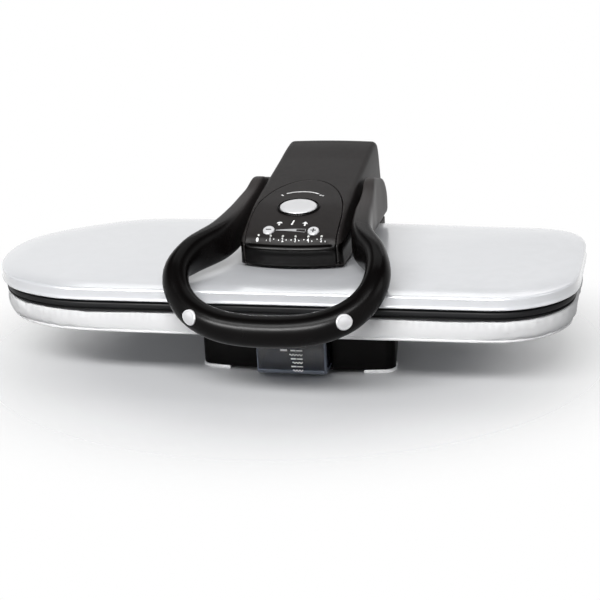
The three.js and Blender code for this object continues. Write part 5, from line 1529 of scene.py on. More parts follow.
def make_panel_marks(sizes):
    """Plain marks on the panel: an arc, icons, figures under the lamps and a wedge between the steppers."""
    def mark(name, shapes, finish="mark", thickness=sizes.ink / MM):
        print_marks(name, shapes, on_top, thickness, finish, "arm")

    sweep = smooth_line([(-20.5, 20.3), (-12, 23.9), (-3, 25.2), (7, 24.3), (16, 20.6)], steps=10)
    mark("power_arc", [ribbon(sweep, 1.5)])
    icons = [
        ribbon([(-25.6, 17.4), (-22.8, 14.4)], 1.5),
        ribbon(circle(18.4, 17.3, 1.0, 16), 0.6, True),
        ribbon(circle(21.4, 16, 1.0, 16), 0.6, True),
        patch(arc(-14.7, -41.6, 3.1, 2.6, 0, 180, 12)),
        patch([(-15.6, -44.9), (-13.8, -44.9), (-13.8, -42.2), (-15.6, -42.2)]),
        patch([(-1.4, -43), (0.3, -43), (1.3, -36.7), (-0.3, -36.7)]),
        disc(-0.7, -43, 1.2),
        patch([(10.3, -41.6), (16.9, -41.6), (13.6, -38.2)]),
        patch([(12.8, -45), (14.4, -45), (14.4, -41.6), (12.8, -41.6)]),
    ]
    mark("panel_icons", icons)
    first = LAMP_PLACES[0]
    numbers = [disc(first - 0.9, lamp_y(first) - 4, 1.5)]
    for k, x in enumerate(LAMP_PLACES[1:], 1):
        y = lamp_y(x) - 3.9
        numbers.append(digit(str(k), x, y, 4.4))
        numbers.extend(disc(x + side * 4.2, y, 0.5, 10) for side in (-1, 1))
    mark("lamp_numbers", numbers)
    left, right, middle_y = -16.4, 16, -52.3
    shares = np.linspace(0, 1, 14)
    lower = [(left + (right - left) * t, middle_y - 0.25 - 2.1 * t) for t in shares]
    upper = [(left + (right - left) * t, middle_y + 0.25 + 2.1 * t) for t in shares]
    mark("wedge_outline", [ribbon(lower + upper[::-1], 0.45, True)], "grey_mark")
    cells = [patch([lower[k], lower[k + 1], upper[k + 1], upper[k]]) for k in range(9)]
    mark("wedge_fill", cells, "grey_mark", sizes.ink / MM * 0.5)


def make_lamps():
    """Small domed lenses in the panel, joined by a light bar under it."""
    points, faces, bar_line = [], [], []
    for x in LAMP_PLACES:
        spot = top_frame(x, lamp_y(x))
        bar_line.append(spot[0] - spot[3] * 2.6)
        faces += skin_faces(len(LENS), LENS_SIDES, first=len(points))
        for ring in cap_rings(*spot, LAMP_RADIUS, LAMP_RADIUS, LENS, LENS_SIDES):
            points.extend(map(tuple, ring))
    lenses = thing("lamp_lenses", points, faces)
    combine(lenses, tube("light_bar", bar_line, 1, 10, 2), operation="UNION")
    part(smooth(lenses, 60), "lens", "arm", ["indicator_strip"])


# Handle
HANDLE_RINGS = 150
HANDLE_SIDES = 44
HANDLE_STEPS = 900  # steps of the smooth line, before it is spaced evenly
PADDLE_SQUARENESS = 3.4  # added to the 2 of an oval
GRIP_END = ((0.93, 0.7), (0.72, 1.5), (0.35, 2.0))  # share of the end's size, and how far it stands out
CAP_RADIUS = 8.5
CAP_DEPTH = 7
CAP_TRAVEL = 2.5
CAP_ROOM = 0.4  # left under a pressed cap
CAP_SIDES = 64
CAST_OUT = 40  # from how far out the grip's skin is looked for
# Rows of (inset, height above the grip's skin)
STEAM_CAP = [(0, -CAP_DEPTH), (0, -1.0), (0, 0.3), (0.25, 0.75), (0.7, 0.95), (1.2, 0.95), (1.6, 0.8),
             (1.9, 0.55), (2.4, 0.45), (4.5, 0.4), (7, 0.4)]


def smooth_by(run, knots, count):
    """A smooth line through knots at given values of its running length."""
    h = np.diff(run)
    slope = np.diff(knots, axis=0) / h[:, None]
    tangent = np.empty_like(knots)
    tangent[1:-1] = (slope[:-1] * h[1:, None] + slope[1:] * h[:-1, None]) / (h[:-1] + h[1:])[:, None]
    tangent[0], tangent[-1] = slope[0], slope[-1]
    at = np.linspace(run[0], run[-1], count)
    k = np.clip(np.searchsorted(run, at, side="right") - 1, 0, len(h) - 1)
    t = ((at - run[k]) / h[k])[:, None]
    return curve_between(t, h[k][:, None], knots[k], tangent[k], knots[k + 1], tangent[k + 1])


def handle_rows():
    """Centres, half thickness, half height and lean along the whole loop, from left to right."""
    right = []
    for out, reach, drop, thick, tall in GRIP_SHARES:
        right.append((GRIP_HALF_SPAN * out, PADDLE_Y - GRIP_REACH * reach, PADDLE_Z - GRIP_DROP * drop,
                      GRIP_THICK * thick, GRIP_TALL * tall, 1))
    for out, reach, drop, thick, tall, lean in SIDE_SHARES:
        right.append((PADDLE_X + (GRIP_HALF_SPAN - PADDLE_X) * out, PADDLE_Y - GRIP_REACH * reach,
                      PADDLE_Z - GRIP_DROP * drop, PADDLE_THICK + (GRIP_THICK - PADDLE_THICK) * thick,
                      PADDLE_TALL * tall, lean))
    right = np.array(right, float)
    left = right[:0:-1] * np.array((-1, 1, 1, 1, 1, 1))
    knots = np.vstack([left, right])
    reach = np.linalg.norm(np.diff(knots[:, :3], axis=0), axis=1)
    dense = smooth_by(np.concatenate([[0], np.cumsum(np.sqrt(reach))]), knots, HANDLE_STEPS)
    run = run_along(dense[:, :3])
    at = np.linspace(0, run[-1], HANDLE_RINGS)
    return np.stack([np.interp(at, run, dense[:, k]) for k in range(6)], 1)


def handle_rings():
    """Rings of the handle: round along the grip, squarer along the paddles, with eased ends."""
    rows = handle_rows()
    rings = []
    for k, row in enumerate(rows):
        along = Vector(rows[min(k + 1, HANDLE_RINGS - 1)][:3] - rows[max(k - 1, 0)][:3]).normalized()
        lean = min(1, max(0, row[5]))
        up = (Vector((0, 0, 1)) - along * along.z * lean).normalized()
        out = along.cross(up).normalized()
        squareness = 2 + PADDLE_SQUARENESS * (1 - lean)
        centre = Vector(row[:3])
        ring = []
        for t in angles_round(HANDLE_SIDES):
            a, b = (
                math.copysign(abs(wave) ** (2 / squareness), wave) * half
                for wave, half in ((math.cos(t), row[3]), (math.sin(t), row[4]))
            )
            ring.append(centre + out * a + up * b)
        rings.append(np.array(ring))
    for index, towards in ((0, 1), (-1, -2)):
        end = rings[index]
        centre = end.mean(0)
        way = centre - rings[towards].mean(0)
        way /= np.linalg.norm(way)
        caps = [centre + (end - centre) * share + way * push for share, push in GRIP_END]
        rings = [*caps[::-1], *rings] if index == 0 else [*rings, *caps]
    return rings


def steam_frame(name):
    """Middle of a steam button's box, and its sideways, uphill and outward directions."""
    joint = next(j for j in frame["joints"] if j["child"] == name)
    outward = -Vector(joint["axis"]).normalized()
    sideways = Vector((0, 0, 1)).cross(outward).normalized() * -1
    uphill = outward.cross(sideways).normalized()
    return middle(name) - ORIGIN, sideways, uphill, outward


def make_handle():
    """The handle, with pockets for the steam buttons and caps that follow the grip's skin."""
    handle = loft("grip_loop", handle_rings())
    corners = [Vector(v.co) / MM - ORIGIN for v in handle.data.vertices]
    tree = BVHTree.FromPolygons(corners, [tuple(p.vertices) for p in handle.data.polygons])
    pocket = CAP_RADIUS + SLACK
    for name in ("left", "right"):
        body = f"steam_button_{name}"
        centre, sideways, uphill, outward = steam_frame(body)
        skin = tree.ray_cast(centre + outward * CAST_OUT, -outward)[0]
        floor = skin - outward * (CAP_DEPTH + CAP_TRAVEL + CAP_ROOM)
        combine(handle, turned("pocket", centre + outward * 30, floor, pocket, CAP_SIDES))
        rings = []
        for shrink, height in STEAM_CAP:
            radius = CAP_RADIUS - shrink
            ring = []
            for t in angles_round(CAP_SIDES):
                foot = centre + sideways * (radius * math.cos(t)) + uphill * (radius * math.sin(t))
                base = tree.ray_cast(foot + outward * CAST_OUT, -outward)[0] or foot
                if height <= -CAP_DEPTH:
                    base = foot + outward * (skin - foot).dot(outward)
                ring.append(base + outward * height)
            rings.append(ring)
        part(smooth(loft(f"steam_cap_{name}", rings), 50), "silver", body, [body])
    part(smooth(handle, 50), "handle", "handle", ["handle_loop"])


# Base
BASE_EDGE = 2.2
MOUTH_GAP = 0.8 + 1.5 + 0.3  # the bay's slack round the tank, its wall, and slack round that
GLAND_HOLE = 8.3
HOSE_HOLE_Y = 172.5
HOSE_HOLE_HALF = 6.8
BOSS_RADIUS = 5
SCREW_HOLE = 2.1
SCREW_REACH = 12.3  # from the plate's underside up into the boss
PLATE_GAP = 0.3
# Vents, cut into the plate from below and left closed above
VENT_ROWS = 5
VENT_PITCH = 9
VENT_FRONT = 70
VENT_X = 38
VENT_HALF = 14
VENT_WIDTH = 3
STRIP_IN_X = 75
STRIP_OUT_X = 130
STRIP_REACH = 27
STRIP_WIDTH = 6
STRIP_PROUD = 0.8
FOOT_PAD = [(0, 9), (0.7, 9), (0.88, 8.6), (1, 7.6), (1, 5.5), (0.9, 5), (0.9, 0.5)]
SCREW = [(0, 2.6), (0.02, 3.3), (0.06, 3.6), (0.11, 3.6), (0.115, 1.8), (0.95, 1.8), (1, 1.1)]
CROSS = ((2.1, 0.45), (0.45, 2.1))


def upright(name, spot, z0, z1, profile, sides=32):
    """A round body that stands on a spot."""
    return turned(name, (spot.x, spot.y, z0), (spot.x, spot.y, z1), profile, sides)


def level_bore(name, y0, y1, x, z, radius, sides=32):
    """A round bore from front to rear."""
    return turned(name, (x, y0, z), (x, y1, z), radius, sides)


def spot_of(node):
    return middle(node) - ORIGIN


def screw_spots():
    return [spot_of(f"base_screw_{k}") for k in (1, 2, 3, 4)]


def make_base():
    """Casing of the base, open in front for the tank, with bosses for the floor's screws."""
    low, high = heights("base_shell")
    rings = [level(base_outline(), low), level(base_outline(), high - BASE_EDGE)]
    for t in np.radians((30, 60, 90)):
        loop = base_outline(BASE_EDGE * (1 - math.cos(t)))
        rings.append(level(loop, high - BASE_EDGE + BASE_EDGE * math.sin(t)))
    shell = loft("base_casing", rings)
    hollow = slab("hollow", base_outline(BASE_WALL), low - OVERRUN, high - BASE_WALL)
    half = TANK_HALF_WIDTH + MOUTH_GAP
    mouth_rear = BASE_FRONT + BASE_BOW + BASE_WALL
    mouth_top = top_of("tank_bay") + PLATE_GAP
    mouth = block("mouth", -half, half, BASE_FRONT - OVERRUN, mouth_rear, low - OVERRUN, mouth_top)
    gland = spot_of("cord_gland")
    bore = level_bore("bore", BASE_REAR - 9, BASE_REAR + 6, gland.x, gland.z, GLAND_HOLE)
    half = HOSE_HOLE_HALF
    hose_hole = block("hose_hole", -half, half, HOSE_HOLE_Y - half, HOSE_HOLE_Y + half, high - 8, high + 4)
    combine(shell, hollow, mouth, bore, hose_hole)
    plate_low, plate_high = heights("base_bottom")
    for spot in screw_spots():
        boss = upright("boss", spot, plate_high + PLATE_GAP, high - BASE_WALL + 0.3, BOSS_RADIUS, 24)
        combine(boss, upright("hole", spot, low - OVERRUN, plate_low + SCREW_REACH, SCREW_HOLE, 20))
        combine(shell, boss, operation="UNION")
    round_edges(shell, 0.4)
    part(shell, "base", "base", ["base_shell"])

    plate = slab("floor_plate", base_outline(BASE_WALL + PLATE_GAP), plate_low, plate_high)
    cuts = [upright("hole", spot, plate_low - 2, plate_high + 2, SCREW_HOLE, 20) for spot in screw_spots()]
    for row in range(VENT_ROWS):
        y0 = VENT_FRONT + row * VENT_PITCH
        y1 = y0 + VENT_WIDTH
        for x in (-VENT_X, VENT_X):
            cuts.append(block("vent", x - VENT_HALF, x + VENT_HALF, y0, y1, plate_low - 2, plate_high - 1))
    combine(plate, *cuts)
    round_edges(plate, 0.3)
    part(plate, "base", "base", ["base_bottom"])


def make_feet():
    """Pale strips under the front corners and round rubber feet at the rear."""
    high = top_of("foot_front_left")
    rear_y = BASE_FRONT + BASE_BOW + STRIP_REACH
    for name, s in (("left", -1), ("right", 1)):
        strip = slab(f"foot_strip_{name}", base_outline(-STRIP_PROUD), 0, high)
        inner = slab("inner", base_outline(STRIP_WIDTH), -OVERRUN, high + OVERRUN)
        x0, x1 = sorted((s * STRIP_IN_X, s * STRIP_OUT_X))
        keep = block("keep", x0, x1, BASE_FRONT - 10, rear_y, -OVERRUN, high + OVERRUN)
        combine(strip, inner)
        combine(strip, keep, operation="INTERSECT")
        round_edges(strip, 1.0, 3)
        part(strip, "foot", "base", [f"foot_front_{name}"])
        rear = f"foot_rear_{name}"
        pad = upright(f"foot_pad_{name}", spot_of(rear), top_of(rear), 0, FOOT_PAD, 40)
        part(smooth(pad, 40), "rubber", "base", [rear])


def make_screws():
    """Cross-head screws in the base's floor."""
    for k, spot in enumerate(screw_spots(), 1):
        node = f"base_screw_{k}"
        low = foot_of(node)
        screw = upright(f"floor_screw_{k}", spot, low, top_of(node), SCREW, 28)
        for half_x, half_y in CROSS:
            combine(screw, block("cross", spot.x - half_x, spot.x + half_x, spot.y - half_y, spot.y + half_y,
                                 low - 1, low + 1.1))
        part(smooth(screw, 35), "steel", "base", [node])


def make_gland():
    """Rubber bush where a cord would enter."""
    spot = spot_of("cord_gland")
    front, back = (corner.y / MM - ORIGIN.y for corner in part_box("cord_gland"))
    depth = back - front
    flange = (BASE_REAR + 0.3 - front) / depth
    flange_end = (BASE_REAR + 2.7 - front) / depth
    profile = [(0, 3.9), (0, 7.4), (0.08, 8), (flange, 8), (flange + 0.001, 10.4), (flange + 0.03, 11),
               (flange_end - 0.03, 11), (flange_end, 10.3), (flange_end + 0.001, 8), (0.97, 8), (1, 7.5),
               (1, 4.4), (0.97, 3.9)]
    gland = level_bore("cord_bush", front, back, spot.x, spot.z, profile, 48)
    part(smooth(gland, 35), "rubber", "base", ["cord_gland"])


# Tank
NECK_RADIUS = 7.9
NECK_BORE = 6.5
VALVE_BORE = 4.3
LID_THICK = 2.4
PLUG = [(0, 5.6), (0.06, 6.2), (0.62, 6.2), (0.63, 7.9), (0.9, 7.9), (1, 7.3), (1, 5.4), (0.86, 5), (0.86, 1)]
MARK_LEVELS = (33.4, 28.4, 23.9, 19.4, 15.0, 10.3)
MARK_LEFT = (0.2, -1.2, 0.2, 1.9, 0.2, 1.9)
MARK_RIGHT = 13.2


def tank_outline(move):
    return rounded_rectangle(-TANK_HALF_WIDTH + move, TANK_HALF_WIDTH - move, TANK_FRONT + move,
                             TANK_REAR - move, max(TANK_CORNER - move, 1))


def make_tank():
    """The tank's body with its lid and filler plug."""
    low, high = heights("water_tank")
    floor = low + TANK_WALL
    table = [(1.2, low), (0.2, low + 0.3), (-0.3, low + 1.0), (-0.3, low + 2.4), (0.3, low + 2.9),
             (0.3, low + 3.4), (0, low + 4), (0, high - 0.6), (0.3, high - 0.1), (0.7, high), (1.4, high),
             (1.9, high - 0.3), (TANK_WALL, high - 0.8), (TANK_WALL, floor + 1.2),
             (TANK_WALL + 0.6, floor + 0.3), (TANK_WALL + 1.6, floor)]
    body = loft("tank_body", [level(tank_outline(d), z) for d, z in table])
    valve = spot_of("tank_valve")
    combine(body, level_bore("bore", TANK_REAR - 8, TANK_REAR + OVERRUN, 0, valve.z, VALVE_BORE, 24))
    part(smooth(body, 50), "tank", "tank", ["water_tank"])
    low, high = heights("tank_lid")
    spot = spot_of("filler_cap")
    lid = slab("tank_cover", tank_outline(TANK_WALL + 0.3), high - LID_THICK, high)
    combine(lid, upright("neck", spot, low, high - 1, NECK_RADIUS), operation="UNION")
    combine(lid, upright("bore", spot, low - 3, high + 3, NECK_BORE))
    round_edges(lid, 0.4)
    part(lid, "tank", "tank", ["tank_lid"])
    plug = upright("filler_plug", spot, foot_of("filler_cap"), top_of("filler_cap"), PLUG, 40)
    part(smooth(plug, 40), "rubber", "tank", ["filler_cap"])


def make_level_marks(sizes):
    """Plain strokes and waves on the tank's front."""
    marks = []
    for row, (z, x0) in enumerate(zip(MARK_LEVELS, MARK_LEFT)):
        if row % 2:
            xs = np.linspace(x0, MARK_RIGHT, 33)
            marks.append(ribbon(np.stack([xs, z + 0.75 * np.sin((xs - x0) * 2 * math.pi / 3.4)], 1), 1.0))
        else:
            marks.append(ribbon([(x0, z), (x0 + 5.6, z)], 1.5))
            marks.append(ribbon([(x0 + 6.4, z), (MARK_RIGHT, z)], 1.1))
    marks.append(ribbon([(-11.2, 33.6), (-3.6, 33.6)], 2.2))

    def on_front(flat, lift):
        return [(x, TANK_FRONT - lift, z) for x, z in flat]

    print_marks("level_marks", marks, on_front, sizes.ink / MM, "mark", "tank")


# Tower and hinge
TOWER_HALF = 57
TOWER_FRONT = 148
TOWER_CORNER = 10
TOWER_STEPS = 14
TOWER_WALL = 3
TOWER_GAP = 12 + 6.5  # from the housing's foot down to the tower's top
KNUCKLE_RADIUS = 15
KNUCKLE_SPANS = ((-28, 28), (-47, -36), (36, 47))
KNUCKLE_WALL = 2.4
PIN_RADIUS = 5
PIN_HALF = 45
PIN_BORE = 5.3
COIL_STEPS = 28
COIL_SIDES = 12
COIL_RADIUS = PIN_RADIUS + 0.3 + SPRING_WIRE


def knuckle(radius, z):
    """Side view of a knuckle round the pin, with straight sides down to z."""
    foot = np.array([(HINGE_Y - radius, z), (HINGE_Y + radius, z)])
    return np.vstack([foot, arc(HINGE_Y, HINGE_Z, radius, radius, 0, 180, 32)])


def make_tower():
    """Hollow tower behind the board with the knuckles round the hinge pin."""
    low, high = foot_of("rear_tower"), HOUSING_Z - TOWER_GAP
    outline = rounded_rectangle(-TOWER_HALF, TOWER_HALF, TOWER_FRONT, BASE_REAR, TOWER_CORNER, TOWER_STEPS)
    tower = slab("tower", outline, low, high)
    roof = high - TOWER_WALL
    for x0, x1 in KNUCKLE_SPANS:
        combine(tower, side_slab("knuckle", knuckle(KNUCKLE_RADIUS, roof), x0, x1), operation="UNION")
    half = TOWER_HALF - TOWER_WALL
    outline = rounded_rectangle(-half, half, TOWER_FRONT + TOWER_WALL, BASE_REAR - TOWER_WALL,
                                TOWER_CORNER - TOWER_WALL, TOWER_STEPS)
    hollow = slab("hollow", outline, low - OVERRUN, roof)
    half = KNUCKLE_SPANS[0][1] - KNUCKLE_WALL
    inner = side_slab("inner", knuckle(KNUCKLE_RADIUS - KNUCKLE_WALL, high - 8), -half, half)
    bore = turned("bore", (-60, HINGE_Y, HINGE_Z), (60, HINGE_Y, HINGE_Z), PIN_BORE, 40)
    combine(tower, hollow, inner, bore)
    round_edges(tower, 0.8, 3)
    part(tower, "tower", "base", ["rear_tower"])


def make_hinge():
    """The hinge pin and the two coil springs round it."""
    profile = [(0, PIN_RADIUS - 0.8), (0.01, PIN_RADIUS), (0.99, PIN_RADIUS), (1, PIN_RADIUS - 0.8)]
    pin = turned("pin", (-PIN_HALF, HINGE_Y, HINGE_Z), (PIN_HALF, HINGE_Y, HINGE_Z), profile, 40)
    part(smooth(pin, 35), "steel", "base", ["hinge_pin"])
    for side, name in ((-1, "left"), (1, "right")):
        rings = []
        for k in range(int(SPRING_TURNS * COIL_STEPS) + 1):
            turn = 2 * math.pi * k / COIL_STEPS
            c, s = math.cos(turn), math.sin(turn)
            x = side * (SPRING_WIRE + 0.3 + SPRING_PITCH * k / COIL_STEPS)
            centre = Vector((x, HINGE_Y + COIL_RADIUS * c, HINGE_Z + COIL_RADIUS * s))
            outward = Vector((0, c, s))
            along = Vector((side * SPRING_PITCH / (2 * math.pi), -COIL_RADIUS * s, COIL_RADIUS * c))
            across = along.normalized().cross(outward)
            rings.append([centre + SPRING_WIRE * (math.cos(t) * outward + math.sin(t) * across)
                          for t in angles_round(COIL_SIDES)])
        spring = loft(f"coil_{name}", rings)
        part(smooth(spring, 60), "steel", "base", [f"hinge_spring_{name}"])


def make_hoses():
    """Hoses inside the base and the arm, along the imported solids' own lines."""
    for name, body in (("pump_hose", "base"), ("steam_hose", "arm")):
        part(smooth(refined(name, name + "_skin"), 60), "hose", body, [name])


def refined(node, name):
    """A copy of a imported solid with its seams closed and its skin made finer."""
    made = put_in_scene(name, frame["nodes"][node].data.copy())
    weld(made.data)
    finer = made.modifiers.new("Finer", "SUBSURF")
    finer.levels = finer.render_levels = 2
    return bake(made)


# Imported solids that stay, by finish
KEPT_EDGE = 0.3
KEPT = {
    "steel": ["shoe_hanger", "hanger_bolt_front", "hanger_bolt_rear", "arm_frame", "thermostat",
              "heating_element", "hinge_bracket", "handle_shaft", "handle_cam", "detent_leaf"],
    "plate": ["steam_chamber"],
    "base": ["tank_bay", "board_support_front", "board_support_rear"],
    "tower": ["arm_underpan"],
    "pump": ["water_pump"],
    "rubber": ["tank_valve"],
    "circuit": ["power_board", "control_board"],
}


def finish_kept():
    """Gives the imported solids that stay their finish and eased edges."""
    for finish, names in KEPT.items():
        for name in names:
            node = frame["nodes"][name]
            node.data.materials.clear()
            node.data.materials.append(FINISHES[finish])
            seams = node.modifiers.new("Weld", "WELD")
            seams.merge_threshold = 1e-6
            bevel(node, KEPT_EDGE)


# Stage
VIEW_AZIMUTH = 13.822
VIEW_ELEVATION = 19.068
VIEW_ROLL = -3.057
VIEW_DISTANCE = 1901.31
VIEW_LENS = 102
VIEW_TARGET = Vector((-7.13, 0, 61.17))
# Place, aim, width, height and power of each lamp
LAMPS = {
    "front": ((-0.12, -1.35, 1.25), (0, -0.05, 0.09), 1.8, 0.3, 38),
    "overhead": ((0.0, 0.5, 1.5), (0, 0, 0.1), 1.5, 0.9, 4.8),
    "back": ((0.0, 2.0, 1.6), (0, 0, 0.1), 2.4, 0.5, 6),
    "right": ((1.6, -0.5, 0.7), (0, 0, 0.1), 0.8, 0.8, 4),
    "gleam": ((-0.36, -1.65, 0.72), (0, -0.05, 0.09), 1.8, 0.2, 90),
}
WORLD_STRENGTH = 0.16
ROOM_Z = (0.2, 0.6)  # rises of a mirrored ray between which the backdrop gives way to the dimmer room
ROOM_STRENGTH = 0.08
FLOOR_HALF = 6
FLOOR_FADE = (0.15, 0.4)  # distances from the middle between which the floor gives way to the backdrop
FLOOR_STRETCH = 0.86
SENSOR_WIDTH = 36


def make_camera():
    """The camera that was fitted to the photograph."""
    azimuth, elevation, roll = (math.radians(angle) for angle in (VIEW_AZIMUTH, VIEW_ELEVATION, VIEW_ROLL))
    flat = math.cos(elevation)
    back = Vector((math.sin(azimuth) * flat, -math.cos(azimuth) * flat, math.sin(elevation)))
    level_right = Vector((math.cos(azimuth), math.sin(azimuth), 0))
    level_up = back.cross(level_right)
    right = math.cos(roll) * level_right + math.sin(roll) * level_up
    up = -math.sin(roll) * level_right + math.cos(roll) * level_up
    camera = put_in_scene("camera", bpy.data.cameras.new("camera"))
    camera.data.sensor_width = SENSOR_WIDTH
    camera.data.lens = VIEW_LENS
    camera.data.clip_start = 0.05
    camera.data.clip_end = 50
    turn = Matrix((right, up, back)).transposed().to_4x4()
    spot = (VIEW_TARGET + back * VIEW_DISTANCE + ORIGIN) * MM
    camera.matrix_world = Matrix.Translation(spot) @ turn
    bpy.context.scene.camera = camera


def add_light(name, spot, target, width, height, power):
    light = bpy.data.lights.new(name, "AREA")
    light.energy = power
    light.shape = "RECTANGLE"
    light.size = width
    light.size_y = height
    holder = put_in_scene(name, light)
    holder.location = spot
    holder.rotation_euler = (Vector(target) - Vector(spot)).to_track_quat("-Z", "Y").to_euler()
    return holder


def make_floor():
    """A pale floor that takes the shadow and fades into the backdrop."""
    mesh = bpy.data.meshes.new("floor")
    corners = [(x * FLOOR_HALF, y * FLOOR_HALF, 0) for x, y in ((-1, -1), (1, -1), (1, 1), (-1, 1))]
    mesh.from_pydata(corners, [], [(0, 1, 2, 3)])
    floor = put_in_scene("floor", mesh)
    f = Finish("pale_floor", (0.62, 0.625, 0.635), 0.6)
    f.vary(0.8, 0.99)
    wide = f.maths("POWER", f.maths("MULTIPLY", f.axis("X"), FLOOR_STRETCH), 2.0)
    radius = f.maths("SQRT", f.maths("ADD", wide, f.maths("POWER", f.axis("Y"), 2.0)))
    clear = f.nodes.new("ShaderNodeBsdfTransparent").outputs[0]
    result = shader_mix(f.material.node_tree, f.span(radius, *FLOOR_FADE), f.shader.outputs[0], clear)
    f.links.new(result, f.nodes["Material Output"].inputs["Surface"])
    mesh.materials.append(f.material)


def make_world():
    """Soft light from all round, and a white backdrop for the camera, gloss and clear plastic."""
    world = bpy.data.worlds.new("studio")
    bpy.context.scene.world = world
    world.use_nodes = True
    nodes, links = world.node_tree.nodes, world.node_tree.links
    lit = nodes["Background"]
    socket(lit, "Color", (0.95, 0.97, 1, 1))
    socket(lit, "Strength", WORLD_STRENGTH)
    seen, mirrored = (nodes.new("ShaderNodeBackground") for _ in range(2))
    for backdrop in (seen, mirrored):
        socket(backdrop, "Color", (1, 1, 1, 1))
    # What gloss shows: the white backdrop, and the dimmer room above it
    split = nodes.new("ShaderNodeSeparateXYZ")
    links.new(nodes.new("ShaderNodeTexCoord").outputs["Generated"], split.inputs[0])
    dim = nodes.new("ShaderNodeMapRange")
    dim.interpolation_type = "SMOOTHSTEP"
    for name, number in zip(("From Min", "From Max", "To Min", "To Max"), (*ROOM_Z, 1, ROOM_STRENGTH)):
        socket(dim, name, number)
    links.new(split.outputs["Z"], dim.inputs["Value"])
    links.new(dim.outputs["Result"], mirrored.inputs["Strength"])
    path = nodes.new("ShaderNodeLightPath")
    result = lit.outputs[0]
    for ray, shown in (("Is Glossy Ray", mirrored), ("Is Transmission Ray", seen), ("Is Camera Ray", seen)):
        result = shader_mix(world.node_tree, path.outputs[ray], result, shown.outputs[0])
    links.new(result, nodes["World Output"].inputs["Surface"])
    bpy.context.scene.view_settings.view_transform = "Standard"


def make_stage():
    make_camera()
    make_floor()
    make_world()
    lamps = {name: add_light(name, *facts) for name, facts in LAMPS.items()}
    # A low strip that only draws the long highlights on the gloss
    lamps["gleam"].visible_diffuse = False


# Operators, in the order in which they run
class PRESS_OT_finishes(bpy.types.Operator):
    """Make the materials from the chosen colours"""

    bl_idname = "press.finishes"
    bl_label = "Finishes"
    bl_options = {"REGISTER", "UNDO"}

    def execute(self, context):
        make_finishes(context.scene.press_colours)
        return {"FINISHED"}


class PRESS_OT_shoe(bpy.types.Operator):
    """Make the shoe: cover, band, heating plate and mat"""

    bl_idname = "press.shoe"
    bl_label = "Shoe"
    bl_options = {"REGISTER", "UNDO"}

    def execute(self, context):
        make_cover()
        make_band()
        make_plate()
        make_mat()
        return {"FINISHED"}


class PRESS_OT_board(bpy.types.Operator):
    """Make the padded board and its tray"""

    bl_idname = "press.board"
    bl_label = "Board"
    bl_options = {"REGISTER", "UNDO"}

    def execute(self, context):
        make_pad(context.scene.press_sizes)
        make_tray()
        return {"FINISHED"}


class PRESS_OT_arm(bpy.types.Operator):
    """Make the arm's housing and panel"""

    bl_idname = "press.arm"
    bl_label = "Arm"
    bl_options = {"REGISTER", "UNDO"}

    def execute(self, context):
        gap = context.scene.press_sizes.seam / MM / 2
        make_panel(arch_loop(-gap))
        make_shell(arch_loop(gap), gap)
        make_bezel()
        return {"FINISHED"}


class PRESS_OT_controls(bpy.types.Operator):
    """Make the buttons, lamps and printed marks"""

    bl_idname = "press.controls"
    bl_label = "Controls"
    bl_options = {"REGISTER", "UNDO"}

    def execute(self, context):
        make_buttons()
        make_lamps()
        make_panel_marks(context.scene.press_sizes)
        return {"FINISHED"}


class PRESS_OT_handle(bpy.types.Operator):
    """Make the handle loop with its steam buttons"""

    bl_idname = "press.handle"
    bl_label = "Handle"
    bl_options = {"REGISTER", "UNDO"}

    def execute(self, context):
        make_handle()
        return {"FINISHED"}


class PRESS_OT_base(bpy.types.Operator):
    """Make the base, its feet, screws and cord bush"""

    bl_idname = "press.base"
    bl_label = "Base"
    bl_options = {"REGISTER", "UNDO"}

    def execute(self, context):
        make_base()
        make_feet()
        make_screws()
        make_gland()
        return {"FINISHED"}


class PRESS_OT_tank(bpy.types.Operator):
    """Make the water tank with its lid, plug and marks"""

    bl_idname = "press.tank"
    bl_label = "Tank"
    bl_options = {"REGISTER", "UNDO"}

    def execute(self, context):
        make_tank()
        make_level_marks(context.scene.press_sizes)
        return {"FINISHED"}


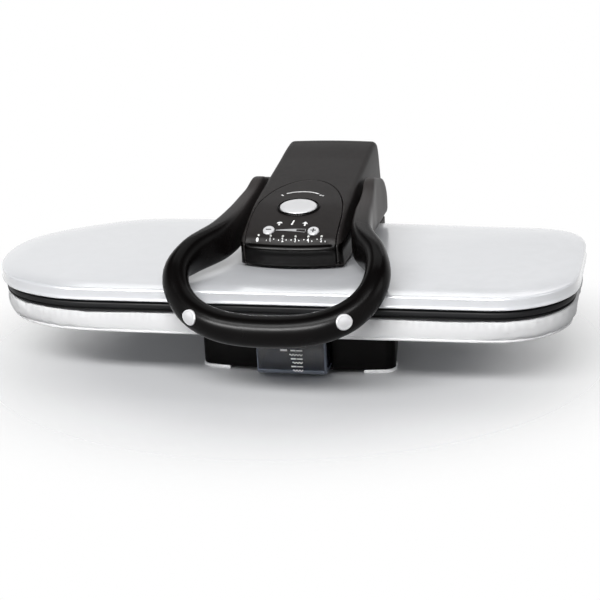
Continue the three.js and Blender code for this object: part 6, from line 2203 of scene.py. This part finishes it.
class PRESS_OT_hinge(bpy.types.Operator):
    """Make the tower, the hinge pin, its springs and the hoses"""

    bl_idname = "press.hinge"
    bl_label = "Hinge"
    bl_options = {"REGISTER", "UNDO"}

    def execute(self, context):
        make_tower()
        make_hinge()
        make_hoses()
        return {"FINISHED"}


class PRESS_OT_inner(bpy.types.Operator):
    """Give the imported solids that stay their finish"""

    bl_idname = "press.inner"
    bl_label = "Inner pieces"
    bl_options = {"REGISTER", "UNDO"}

    def execute(self, context):
        finish_kept()
        return {"FINISHED"}


class PRESS_OT_stage(bpy.types.Operator):
    """Make the floor, the lights and the camera"""

    bl_idname = "press.stage"
    bl_label = "Stage"
    bl_options = {"REGISTER", "UNDO"}

    def execute(self, context):
        make_stage()
        return {"FINISHED"}


STEPS = (PRESS_OT_finishes, PRESS_OT_shoe, PRESS_OT_board, PRESS_OT_arm, PRESS_OT_controls, PRESS_OT_handle,
         PRESS_OT_base, PRESS_OT_tank, PRESS_OT_hinge, PRESS_OT_inner, PRESS_OT_stage)


class PRESS_PT_panel(bpy.types.Panel):
    """Steps, sizes and colours of the press"""

    bl_label = "Steam ironing press"
    bl_idname = "PRESS_PT_panel"
    bl_space_type = "VIEW_3D"
    bl_region_type = "UI"
    bl_category = "Press"

    def draw(self, context):
        for group in (context.scene.press_sizes, context.scene.press_colours):
            box = self.layout.box()
            for name in group.__annotations__:
                box.prop(group, name)
        for step in STEPS:
            self.layout.operator(step.bl_idname)


CLASSES = (PressSizes, PressColours, *STEPS, PRESS_PT_panel)


def register():
    for cls in CLASSES:
        bpy.utils.register_class(cls)
    bpy.types.Scene.press_sizes = bpy.props.PointerProperty(type=PressSizes)
    bpy.types.Scene.press_colours = bpy.props.PointerProperty(type=PressColours)


def unregister():
    del bpy.types.Scene.press_colours
    del bpy.types.Scene.press_sizes
    for cls in reversed(CLASSES):
        bpy.utils.unregister_class(cls)


def main():
    register()
    for step in STEPS:
        group, name = step.bl_idname.split(".")
        getattr(getattr(bpy.ops, group), name)()


if __name__ == "__main__":
    main()
